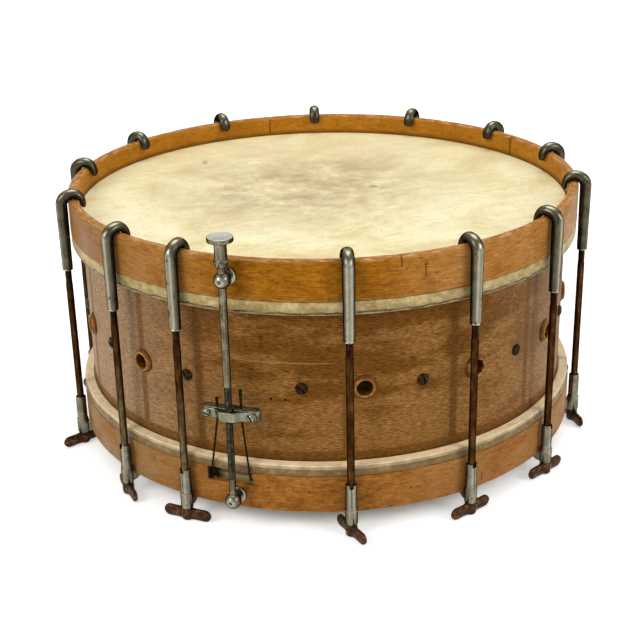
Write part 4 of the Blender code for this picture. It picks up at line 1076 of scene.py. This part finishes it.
def build_claws():
    """The claws: a slit sleeve on a stout collar, with a web that reaches under the lower hoop."""
    metal = tarnished_nickel("nickel_plate_of_claws", "716c58", "8d8876", "b0ab9a", 0.45)
    seam = CLAW_BOTTOM + 0.0125
    bore = 0.0034
    profile = [
        (bore, CLAW_TOP - 0.0004), (0.0039, CLAW_TOP), (0.0043, CLAW_TOP - 0.0004), (0.0043, seam + 0.0006),
        (0.0048, seam + 0.0002), (0.0049, seam - 0.0005), (0.0049, CLAW_BOTTOM + 0.0007),
        (0.0044, CLAW_BOTTOM), (bore, CLAW_BOTTOM),
    ]
    sleeve = Surface().rings(turned(profile, 28), loop=True).build("claw_sleeve")
    notch = prism(bar(0.0016, -0.008, 0.0), 0.0052, Matrix.Translation((0.0, 0.0, CLAW_TOP)))
    slit_low = seam + 0.0010
    middle = Matrix.Translation((0.0, 0.0, (CLAW_TOP + slit_low) / 2))
    slit = prism(bar(0.00028, -0.008, 0.0), CLAW_TOP - slit_low, middle)
    sleeve = cut(sleeve, [notch, slit])
    bearing = SNARE_HOOP_BOTTOM - GAP
    face = ROD_CIRCLE - HOOP_OUTER - GAP
    tip = ROD_CIRCLE - HOOP_INNER - 0.0005
    back = 0.0040
    outline = [
        (back, CLAW_BOTTOM + 0.0105), (face - 0.0005, CLAW_BOTTOM + 0.0102), (face, CLAW_BOTTOM + 0.0095),
        (face, bearing), (tip - 0.0006, bearing), (tip, bearing - 0.0006), (tip - 0.0001, bearing - 0.0018),
        (0.0075, CLAW_BOTTOM + 0.0006), (back, CLAW_BOTTOM + 0.0002),
    ]
    stand = Matrix(((0, 0, 1, 0), (1, 0, 0, 0), (0, 1, 0, 0), (0, 0, 0, 1)))
    web = prism(outline, 0.0046, stand).build("claw_web")
    for number, angle in enumerate(ROD_ANGLES, start=1):
        place = turn_to(angle, ROD_CIRCLE)
        name = f"claw_sleeve_{number:02d}"
        surface = Surface().mesh(sleeve, place).mesh(web, place)
        node_name = f"claw_{number:02d}"
        piece(name, surface.build(name), metal, body=node_name, replaces=[node_name])


def threaded(low, high, depth, steps=20):
    """Rings of a screw thread round local Z, from its top down, that runs out at both ends."""
    per_turn = 5
    count = int((high - low) / THREAD_PITCH * per_turn)
    run_out = (high - low) * per_turn / count

    def shape(radius, height, angle):
        phase = (height / THREAD_PITCH - angle / (2.0 * math.pi)) % 1.0
        cut_in = min(1.0, (high - height) / run_out, (height - low) / run_out)
        return radius - depth * cut_in * abs(2.0 * phase - 1.0), height

    profile = [(THREAD_RADIUS, high - (high - low) * index / count) for index in range(count + 1)]
    return turned(profile, steps, shape)


def build_rods():
    """The tension rods with their cast T handles."""
    rust = rusted_iron()
    brown = browned_rod()
    black = black_thread("greased_thread_of_rods", "180d07", "2a180d", "463020")
    plain_top = HOOK_END - 0.0125
    shaft = [(0.0026, plain_top + 0.001), (0.0029, plain_top), (0.0029, 0.0120), (0.0029, 0.0085)]
    shaft_rows = turned(shaft, 20)
    hub = [(0.0032, 0.0099), (0.0040, 0.0098), (0.0043, 0.0090), (0.0046, 0.0070), (0.0047, 0.0045)]
    hub += [(0.0046, 0.0022), (0.0042, 0.0008), (0.0034, 0.0001), (0.0010, 0.0)]
    hub_rows = turned(hub, 28)
    handle_rows = handle_sections()
    thread = threaded(plain_top - 0.0005, ROD_TOP, 0.00035)
    for number, (angle, yaw) in enumerate(zip(ROD_ANGLES, HANDLE_YAWS), start=1):
        turn = Matrix.Rotation(math.radians(yaw), 4, "Z")
        centre = Matrix.Translation(spot(angle, ROD_CIRCLE, 0.0)) @ turn
        name = f"t_rod_{number:02d}"
        body = f"rod_{number:02d}"
        surface = Surface().rings(hub_rows, centre).rings(handle_rows, centre)
        piece(name, surface.build(name), rust, body=body, replaces=[body])
        name = f"rod_shaft_{number:02d}"
        piece(name, Surface().rings(shaft_rows, centre).build(name), brown, body=body)
        name = f"rod_thread_{number:02d}"
        piece(name, Surface().rings(thread, centre).build(name), black, body=body)


def handle_sections():
    """Rings along a T handle: two rounded paddles that swell into a boss in the middle."""
    rows = []
    sizes = bpy.context.scene.drum_sizes
    reach = sizes.handle_reach
    half_thick = sizes.handle_thickness / 2
    tall = 0.0047
    count = 44
    for index in range(count + 1):
        turn = math.pi * index / count
        x = -reach * math.cos(turn)
        out = abs(x)
        end = max(0.0, out - (reach - tall)) / tall
        round_end = math.sqrt(max(0.0004, 1.0 - end * end))
        half_tall = tall * (1.0 - 0.03 * math.exp(-(((out - 0.0078) / 0.0032) ** 2))) * round_end
        boss = math.exp(-((out / 0.0042) ** 2))
        thick = (half_thick + 0.0023 * boss) * (0.45 + 0.55 * round_end)
        row = []
        for step in range(20):
            angle = 2.0 * math.pi * step / 20
            c, s = math.cos(angle), math.sin(angle)
            y = thick * math.copysign(abs(c) ** 0.6, c)
            z = half_tall * math.copysign(abs(s) ** 0.85, s)
            row.append(Vector((x, y, tall + 0.0002 + z)))
        rows.append(row)
    return rows


def build_strainer():
    """The strainer's knob, its rod and the two ball posts that hold it."""
    metal = tarnished_nickel("nickel_plate_of_strainer", "6a6656", "8b8779", "aeaa9d", 0.7)
    centre = turn_to(STRAINER_ANGLE, STRAINER_CIRCLE)
    knob_foot = UPPER_POST_LEVEL + BALL_RADIUS + 0.0023
    neck_foot = knob_foot + 0.0052
    neck_top = KNOB_TOP - 0.0035
    wide = 0.0095
    profile = [(0.0008, KNOB_TOP - 0.0003), (0.0060, KNOB_TOP - 0.0002), (wide - 0.0010, KNOB_TOP)]
    profile += arc(wide - 0.0006, KNOB_TOP - 0.0006, 0.0006, 90, 0, 4)
    profile += arc(wide - 0.0006, neck_top + 0.0006, 0.0006, 0, -90, 4)
    profile += arc(0.0047 + 0.0009, neck_top - 0.0009, 0.0009, 90, 180, 4)
    profile += [(0.0045, neck_top - 0.004), (0.0046, neck_foot + 0.004), (0.0047, neck_foot + 0.0014)]
    profile += arc(0.0050, neck_foot + 0.0002, 0.0007, 80, -80, 6)
    profile += [(0.0046, neck_foot - 0.0008), (0.0046, neck_foot - 0.0028), (0.0042, neck_foot - 0.0034)]
    profile += [(0.0037, knob_foot + 0.0010), (0.0034, knob_foot), (0.0008, knob_foot)]
    knob = Surface().rings(turned(profile, 48)).build("knob")
    slot = prism(bar(0.0005, -0.006, 0.006), 0.008, Matrix.Translation((0.0, 0.0, knob_foot)))
    knob = cut(knob, [slot])
    knob.transform(centre)
    # The knob's plate carries painted light on its sides and a painted near-white reflection on its top.
    worn = tarnished_nickel("nickel_plate_of_knob", "3a3626", "5f5b49", "918d7c", 0.35, top="f2f0ea")
    piece("knob_turned", knob, worn, body="strainer_screw", replaces=["strainer_knob"])
    thread_top = RIM - 0.0950
    thread_low = LOWER_POST_LEVEL + BALL_RADIUS + 0.0125
    plain = [(0.0029, knob_foot + 0.001), (0.0029, UPPER_POST_LEVEL), (0.0029, thread_top)]
    plain += [(0.0024, thread_top - 0.0004)]
    ferrule = [(0.0021, thread_low + 0.0003), (0.0026, thread_low)]
    ferrule += [(0.0026, LOWER_POST_LEVEL + 0.004), (0.0026, LOWER_POST_LEVEL + 0.0003)]
    rod = Surface().rings(turned(plain, 28), centre).rings(turned(ferrule, 24), centre).build("rod")
    dull = tarnished_nickel("dulled_plate_of_strainer_rod", "332d1b", "5b533a", "878065", 0.25)
    piece(
        "strainer_rod_plain", rod, dull, body="strainer_screw",
        replaces=["strainer_rod"],
    )
    thread = Surface().rings(threaded(thread_low, thread_top, 0.0005, 28), centre).build("thread")
    black = black_thread("greased_thread_of_strainer", "22201a", "3d3b2b", "66624c")
    piece("strainer_rod_thread", thread, black, body="strainer_screw")
    for name, level in (("upper", UPPER_POST_LEVEL), ("lower", LOWER_POST_LEVEL)):
        place = outward(STRAINER_ANGLE, STRAINER_CIRCLE, level)
        back = GAP - STRAINER_REACH
        nut = back - HOOP_WALL
        # A peened bead sits in a dimple at the ball's outer pole.
        ball = [(0.0001, 0.0059), (0.0005, 0.0057), (0.0008, 0.0052), (0.0012, 0.0058)]
        for degrees in range(15, 156, 8):
            turn = math.radians(degrees)
            ball.append((BALL_RADIUS * math.sin(turn), BALL_RADIUS * math.cos(turn)))
        profile = ball + [(0.0026, -0.0060), (0.0026, back + 0.0024), (0.0059, back + 0.0020)]
        profile += [(0.0065, back + 0.0017), (0.0067, back + 0.0009), (0.0067, back)]
        profile += [(0.0020, back), (0.0020, nut - 0.001), (0.0040, nut - 0.001)]
        profile += [(0.0040, nut - 0.0026), (0.0005, nut - 0.0026)]
        post = Surface().rings(turned(profile, 40)).build("post")
        axis = Matrix.Rotation(math.radians(-90.0), 4, "X")
        # The upper ball is bored through, and the lower one from its middle down.
        if name == "upper":
            tool = Surface().rings(turned([(STRAINER_BORE, 0.012), (STRAINER_BORE, -0.012)], 28), axis)
        else:
            axis = axis @ Matrix.Rotation(math.pi, 4, "X")
            tool = Surface().rings(turned([(STRAINER_BORE, 0.012), (STRAINER_BORE, 0.0)], 28), axis)
        post = cut(post, [tool])
        post.transform(place)
        piece(f"ball_post_{name}", post, metal, replaces=[f"strainer_{name}_post"])


def build_clamp():
    """The clamp block, its bowed strap and two slotted screws."""
    metal = tarnished_nickel("nickel_plate_of_clamp", "4c493a", "6b6857", "8f8c7a", 0.5)
    centre = turn_to(STRAINER_ANGLE, STRAINER_CIRCLE, BLOCK_LEVEL)
    tall = BLOCK_HALF_HEIGHT
    front, back = 0.0016, 0.0095
    half = (back - front) / 2
    middle = (back + front) / 2
    length = 0.0225
    rows = []
    for index in range(33):
        x = -length * math.cos(math.pi * index / 32)
        end = max(0.0, abs(x) - (length - half)) / half
        deep = half * math.sqrt(max(0.001, 1.0 - end * end))
        rows.append(rounded_box_ring(x, middle, deep, tall, 0.0006))
    block = Surface().rings(rows).build("block")
    tools = [Surface().rings(turned([(STRAINER_BORE, 0.01), (STRAINER_BORE, -0.01)], 28))]
    for x in STRAND_PLACES:
        hole = turned([(0.0012, 0.01), (0.0012, -0.01)], 16)
        tools.append(Surface().rings(hole, Matrix.Translation((x, STRAND_BACK, 0.0))))
    block = cut(block, tools)
    block.transform(centre)
    cast = tarnished_nickel("dull_plate_of_block", "3f3d2d", "66644f", "918f7a", 0.0, metallic=0.6)
    piece(
        "clamp_block", block, cast, body="strainer_clamp", replaces=["strainer_block"]
    )
    thick = 0.0020
    seat = front - GAP
    # The bow stands 0.5 mm clear of the rod's widest part.
    crest = -0.0029 - 0.0005

    def bowed(x):
        return seat + (crest - seat) * smooth((0.0122 - x) / 0.0086)

    strap = Surface().rings(strap_rings(0.0215, tall, thick, 0.0007, 60, bowed)).build("strap")
    strap.transform(centre)
    piece(
        "clamp_strap", strap, metal, body="strainer_clamp", replaces=["strainer_strap"]
    )
    screw = slotted_screw(0.0034, 0.0024, 0.0015, 0.006, 0.0013)
    for side, x, turn in (("left", -0.0175, 75.0), ("right", 0.0175, 28.0)):
        place = turn_to(STRAINER_ANGLE, STRAINER_CIRCLE - front + GAP + thick, BLOCK_LEVEL)
        place = place @ Matrix.Translation((x, 0.0, 0.0)) @ Matrix.Rotation(math.radians(90.0), 4, "X")
        made = Surface().mesh(screw, place @ Matrix.Rotation(math.radians(turn), 4, "Z"))
        name = f"clamp_screw_slotted_{side}"
        piece(
            name, made.build(name), metal, body="strainer_clamp",
            replaces=[f"clamp_screw_{side}"],
        )


def rounded_box_ring(x, middle, deep, tall, corner):
    """A ring in a plane of constant x: a rectangle with rounded corners."""
    corner = min(corner, deep * 0.9, tall * 0.9)
    ring = []
    for start, y, z in ((0, 1, 1), (90, -1, 1), (180, -1, -1), (270, 1, -1)):
        for px, py in arc(y * (deep - corner), z * (tall - corner), corner, start, start + 90, 3):
            ring.append(Vector((x, middle + px, py)))
    return ring


def strap_rings(reach, tall, thick, corner, steps, inside):
    """Rings along a strap with round ends. inside gives its inner face at a distance from its middle."""
    rows = []
    for index in range(steps + 1):
        x = -reach + 2 * reach * index / steps
        end = max(0.0, abs(x) - (reach - tall)) / tall
        high = tall * math.sqrt(max(0.002, 1.0 - end * end))
        rows.append(rounded_box_ring(x, inside(abs(x)) - thick / 2, thick / 2, high, corner))
    return rows


def strand_side(radius, stub_top, x, gate_angle, butt_angle):
    """One half of the strand: clamp, gate, under the head, far gate and down to its loop."""
    play = 0.0004
    block = turn_to(STRAINER_ANGLE, STRAINER_CIRCLE)
    face = HOOP_OUTER + radius + play
    relief = (COLLAR_RADIUS + GATE_RELIEF) / 2
    step = 2 * radius
    under = SNARE_FACE - play - radius
    over = GATE_FLOOR + radius + play + step
    return [
        block @ Vector((x, STRAND_BACK, BLOCK_LEVEL + BLOCK_HALF_HEIGHT + stub_top)),
        block @ Vector((x, STRAND_BACK, BLOCK_LEVEL - BLOCK_HALF_HEIGHT - step)),
        spot(gate_angle, face, SNARE_HOOP_TOP + GAP),
        spot(gate_angle, face - step, over + step),
        spot(gate_angle, relief, over),
        spot(gate_angle, relief, under + step),
        spot(gate_angle, relief - step, under),
        spot(butt_angle, relief - step, under),
        spot(butt_angle, relief, under + step),
        spot(butt_angle, relief, over),
        spot(butt_angle, face, over),
        spot(butt_angle, face, BUTT_LEVEL),
    ]


def rounded_route(points, share=0.42, steps=5):
    """A route with each of its corners drawn as a short curve."""
    route = [points[0]]
    for before, corner, after in zip(points, points[1:], points[2:]):
        reach = share * min((corner - before).length, (after - corner).length)
        start = corner + (before - corner).normalized() * reach
        end = corner + (after - corner).normalized() * reach
        for step in range(steps + 1):
            t = step / steps
            route.append(start * (1 - t) ** 2 + corner * 2 * t * (1 - t) + end * t * t)
    route.append(points[-1])
    return route


def build_strand():
    """The gut strand, and the strap that holds its loop on the far side."""
    radius = bpy.context.scene.drum_sizes.strand
    left = strand_side(radius, 0.0060, STRAND_PLACES[0], -24.2, BUTT_ANGLE + 1.5)
    right = strand_side(radius, 0.0150, STRAND_PLACES[1], -16.0, BUTT_ANGLE - 1.5)
    route = rounded_route(left + right[::-1])
    # It is doubled, so thicker, above the clamp.
    doubled = BLOCK_LEVEL + 0.0044
    radii = [radius * (1.0 + 0.8 * smooth((point.z - doubled) / 0.0012)) for point in route]
    strand = swept(route, radii, radii, Vector((1.0, 0.0, 0.0)), 10)
    # Its end is knotted in the left corner of the gate.
    knot = [(0.0004, 0.0040), (0.0017, 0.0032), (0.0025, 0.0012), (0.0021, -0.0004)]
    knot += [(0.0026, -0.0018), (0.0018, -0.0034), (0.0004, -0.0040)]
    tied = turn_to(GATE_ANGLE - 4.1, COLLAR_RADIUS + 0.0034, SNARE_HOOP_TOP - 0.0060)
    surface = Surface().rings(strand).rings(turned(knot, 14), tied)
    made = placed("gut_strand", surface.build("gut_strand"))
    made.data.materials.append(dried_gut())
    made.data.shade_smooth()
    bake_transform(made)
    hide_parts("snare_strand")
    centre = turn_to(BUTT_ANGLE, HOOP_OUTER, BUTT_LEVEL)
    thick = 0.0014

    def bowed(x):
        return -GAP - 0.0021 * smooth((0.0092 - x) / 0.0020)

    strap = Surface().rings(strap_rings(0.0140, 0.0040, thick, 0.0003, 48, bowed), centre)
    screw = slotted_screw(0.0031, 0.0018, 0.0015, 0.006, 0.0009)
    for side in (-1, 1):
        angle = BUTT_ANGLE + side * math.degrees(0.0118 / HOOP_OUTER)
        place = outward(angle, HOOP_OUTER + GAP + thick, BUTT_LEVEL)
        strap.mesh(screw, place @ Matrix.Rotation(0.7 * side, 4, "Z"))
    metal = tarnished_nickel("nickel_plate_of_butt", "59533f", "7a7461", "9c9784")
    piece(
        "butt_strap_bowed", strap.build("butt_strap_bowed"), metal,
        replaces=["butt_strap"],
    )


# Stage


def seen_rays(tree):
    """1 for the rays that show the white backdrop: straight to the camera, or by way of gloss or glass."""
    rays = node(tree, "LightPath").outputs
    seen = node(tree, "Math", [rays["Is Camera Ray"], rays["Is Glossy Ray"]], operation="MAXIMUM")
    return node(tree, "Math", [seen, rays["Is Transmission Ray"]], operation="MAXIMUM")


def build_stage():
    """The pale floor, the three soft boxes, the sky and the camera of the photograph."""
    look = bpy.context.scene.drum_stage
    world = bpy.data.worlds.new("studio")
    bpy.context.scene.world = world
    world.use_nodes = True
    tree = world.node_tree
    background = tree.nodes["Background"]
    seen = seen_rays(tree)
    plain = node(tree, "Background", {"Color": "ffffff", "Strength": 1.0})
    # The studio is dim near the floor and bright overhead, which models the metal.
    up = node(tree, "SeparateXYZ", [node(tree, "TexCoord").outputs["Generated"]]).outputs["Z"]
    glow = node(tree, "MapRange", [up, -0.05, 0.8, look.horizon, look.sky], **EASED)
    background.inputs["Color"].default_value = colour("ffffff")
    tree.links.new(output(glow), background.inputs["Strength"])
    mixed = node(tree, "MixShader", [seen, background, plain])
    tree.links.new(mixed.outputs[0], tree.nodes["World Output"].inputs["Surface"])
    mesh = bpy.data.meshes.new("floor")
    half = 3.0
    mesh.from_pydata(
        [(-half, -half, 0), (half, -half, 0), (half, half, 0), (-half, half, 0)], [], [(0, 1, 2, 3)]
    )
    floor = placed("floor", mesh)
    floor.location.z = -0.0002
    material = bpy.data.materials.new("white_floor")
    material.use_nodes = True
    tree = material.node_tree
    tree.nodes.clear()
    seen = seen_rays(tree)
    # White is added away from the drum only: the floor under it, out to just inside its hoop, is painted
    # darker, a painted shadow, and its own shadow stays dark there.
    position = node(tree, "TexCoord").outputs["Object"]
    apart = node(tree, "VectorMath", [position], operation="LENGTH")
    lift = node(tree, "MapRange", [apart, 0.182, 0.210, 0.10, look.floor_lift], **EASED)
    lift = node(tree, "Math", [seen, lift], operation="MULTIPLY")
    glow = node(tree, "Emission", {"Color": "ffffff", "Strength": lift})
    paint = node(tree, "BsdfDiffuse", {"Color": "f4f4f4"})
    both = node(tree, "AddShader", [glow, paint])
    out = node(tree, "OutputMaterial")
    tree.links.new(both.outputs[0], out.inputs["Surface"])
    mesh.materials.append(material)
    for name, place, size, power in (
        ("soft_box_left", (-2.6, -2.0, 2.2), 1.8, look.left_power),
        ("soft_box_right", (2.8, -1.7, 1.9), 1.6, look.right_power),
        ("soft_box_top", (0.2, 0.6, 3.6), 2.4, look.top_power),
    ):
        lamp = bpy.data.lights.new(name, "AREA")
        lamp.size = size
        lamp.energy = power
        made = placed(name, lamp)
        made.location = place
        made.rotation_euler = (Vector((0.0, 0.0, 0.1)) - Vector(place)).to_track_quat("-Z", "Y").to_euler()
    # The camera stands where the ellipses of the photographed hoops put it.
    camera_data = bpy.data.cameras.new("camera")
    camera_data.sensor_width = 36.0
    camera_data.lens = look.lens
    camera = placed("camera", camera_data)
    camera.location = (0.0, -1.06042, RIM + 0.31220)
    camera.rotation_euler = [math.radians(a) for a in (67.2061, 1.1191, -0.2170)]
    bpy.context.scene.camera = camera
    bpy.context.scene.view_settings.view_transform = "Standard"


# Add-on


PAINT = {"size": 4, "min": 0.0, "max": 1.0, "subtype": "COLOR"}


class DrumSizes(bpy.types.PropertyGroup):
    """Sizes of the fittings."""

    hook_foot: FloatProperty(
        name="Hook tube", description="Radius of a hook's tube at its foot", default=0.0043, unit="LENGTH"
    )
    handle_reach: FloatProperty(
        name="Handle reach", description="From a rod's axis to the end of its handle", default=0.0200,
        unit="LENGTH",
    )
    handle_thickness: FloatProperty(
        name="Handle thickness", description="Thickness of a handle's paddles", default=0.0042,
        unit="LENGTH",
    )
    vent_bore: FloatProperty(
        name="Vent bore", description="Radius of a vent's hole", default=0.0062, unit="LENGTH"
    )
    screw_head: FloatProperty(
        name="Shell screw", description="Radius of a shell screw's head", default=0.0047, unit="LENGTH"
    )
    strand: FloatProperty(
        name="Strand", description="Radius of the gut strand", default=0.00075, unit="LENGTH"
    )


class DrumColours(bpy.types.PropertyGroup):
    """Colours and wear."""

    hoop_wood: FloatVectorProperty(
        name="Hoop wood", description="Shellacked maple of the counterhoops", default=colour("a36504"),
        **PAINT,
    )
    shell_wood: FloatVectorProperty(
        name="Shell wood", description="Faded stain of the shell", default=colour("6e4208"), **PAINT,
    )
    skin: FloatVectorProperty(
        name="Skin", description="Calfskin where it is clean", default=colour("f7eab9"), **PAINT,
    )
    nickel: FloatVectorProperty(
        name="Nickel", description="Tarnished plate of the fittings", default=colour("7a7664"), **PAINT,
    )
    rust: FloatVectorProperty(
        name="Rust", description="Rust of the handles", default=colour("3f2614"), **PAINT,
    )
    side_tint: FloatProperty(
        name="Side tint", description="How strongly the hoops' sides are tinted", default=0.95,
        min=0.0, max=1.5, subtype="FACTOR",
    )
    edge_wear_and_highlight: FloatProperty(
        name="Edge wear and highlight", description="How far the hoops' edges are rubbed pale and painted lit", default=0.85, min=0.0, max=1.0,
        subtype="FACTOR",
    )
    stripes: FloatProperty(
        name="Varnish stripes", description="How strong the gold stripes by the rods are", default=0.8,
        min=0.0, max=1.0, subtype="FACTOR",
    )


class DrumStage(bpy.types.PropertyGroup):
    """Camera and light."""

    lens: FloatProperty(
        name="Lens", description="The camera's focal length in millimetres", default=73.298, min=20.0,
        unit="CAMERA",
    )
    sky: FloatProperty(name="Sky", description="Strength of the light overhead", default=0.5, min=0.0)
    horizon: FloatProperty(
        name="Horizon", description="Strength of the light from the sides", default=0.12, min=0.0
    )
    floor_lift: FloatProperty(
        name="Floor lift", description="White added to the floor away from the drum", default=0.48, min=0.0
    )
    left_power: FloatProperty(
        name="Left box", description="The left soft box", default=60.0, min=0.0, unit="POWER"
    )
    right_power: FloatProperty(
        name="Right box", description="The right soft box", default=46.0, min=0.0, unit="POWER"
    )
    top_power: FloatProperty(
        name="Top box", description="The top soft box", default=52.0, min=0.0, unit="POWER"
    )


class DRUM_OT_stage(bpy.types.Operator):
    """Build the floor, the lights and the camera"""

    bl_idname = "drum.stage"
    bl_label = "Stage"

    def execute(self, context):
        build_stage()
        return {"FINISHED"}


class DRUM_OT_shell(bpy.types.Operator):
    """Build the shell with its vent bushes, inner ring and screws"""

    bl_idname = "drum.shell"
    bl_label = "Shell"

    def execute(self, context):
        build_shell()
        return {"FINISHED"}


class DRUM_OT_hoops(bpy.types.Operator):
    """Build the two counterhoops"""

    bl_idname = "drum.hoops"
    bl_label = "Counterhoops"

    def execute(self, context):
        build_hoops()
        return {"FINISHED"}


class DRUM_OT_heads(bpy.types.Operator):
    """Build the two calfskin heads"""

    bl_idname = "drum.heads"
    bl_label = "Heads"

    def execute(self, context):
        build_heads()
        return {"FINISHED"}


class DRUM_OT_hooks(bpy.types.Operator):
    """Build the hooks over the upper counterhoop"""

    bl_idname = "drum.hooks"
    bl_label = "Hooks"

    def execute(self, context):
        build_hooks()
        return {"FINISHED"}


class DRUM_OT_claws(bpy.types.Operator):
    """Build the claws under the lower counterhoop"""

    bl_idname = "drum.claws"
    bl_label = "Claws"

    def execute(self, context):
        build_claws()
        return {"FINISHED"}


class DRUM_OT_rods(bpy.types.Operator):
    """Build the tension rods with their T handles"""

    bl_idname = "drum.rods"
    bl_label = "Tension Rods"

    def execute(self, context):
        build_rods()
        return {"FINISHED"}


class DRUM_OT_strainer(bpy.types.Operator):
    """Build the strainer with its knob, posts and clamp"""

    bl_idname = "drum.strainer"
    bl_label = "Strainer"

    def execute(self, context):
        build_strainer()
        build_clamp()
        return {"FINISHED"}


class DRUM_OT_strand(bpy.types.Operator):
    """Build the gut strand and the strap that holds its far end"""

    bl_idname = "drum.strand"
    bl_label = "Strand"

    def execute(self, context):
        build_strand()
        return {"FINISHED"}


class DRUM_PT_panel(bpy.types.Panel):
    """The drum's panel in the sidebar."""

    bl_label = "Antique Snare Drum"
    bl_idname = "DRUM_PT_panel"
    bl_space_type = "VIEW_3D"
    bl_region_type = "UI"
    bl_category = "Drum"

    def draw(self, context):
        layout = self.layout
        for kind in OPERATORS:
            layout.operator(kind.bl_idname)
        for settings in (context.scene.drum_sizes, context.scene.drum_colours, context.scene.drum_stage):
            for name in settings.__annotations__:
                layout.prop(settings, name)


OPERATORS = (
    DRUM_OT_stage, DRUM_OT_shell, DRUM_OT_hoops, DRUM_OT_heads, DRUM_OT_hooks, DRUM_OT_claws, DRUM_OT_rods,
    DRUM_OT_strainer, DRUM_OT_strand,
)
CLASSES = (DrumSizes, DrumColours, DrumStage, *OPERATORS, DRUM_PT_panel)


def register():
    """Puts the classes and their settings in place."""
    for kind in CLASSES:
        bpy.utils.register_class(kind)
    bpy.types.Scene.drum_sizes = PointerProperty(type=DrumSizes)
    bpy.types.Scene.drum_colours = PointerProperty(type=DrumColours)
    bpy.types.Scene.drum_stage = PointerProperty(type=DrumStage)


def unregister():
    """Takes the settings and the classes away again."""
    del bpy.types.Scene.drum_stage
    del bpy.types.Scene.drum_colours
    del bpy.types.Scene.drum_sizes
    for kind in reversed(CLASSES):
        bpy.utils.unregister_class(kind)


def main():
    """Builds the whole drum in order."""
    register()
    bpy.ops.drum.stage()
    bpy.ops.drum.shell()
    bpy.ops.drum.hoops()
    bpy.ops.drum.heads()
    bpy.ops.drum.hooks()
    bpy.ops.drum.claws()
    bpy.ops.drum.rods()
    bpy.ops.drum.strainer()
    bpy.ops.drum.strand()


if __name__ == "__main__":
    main()
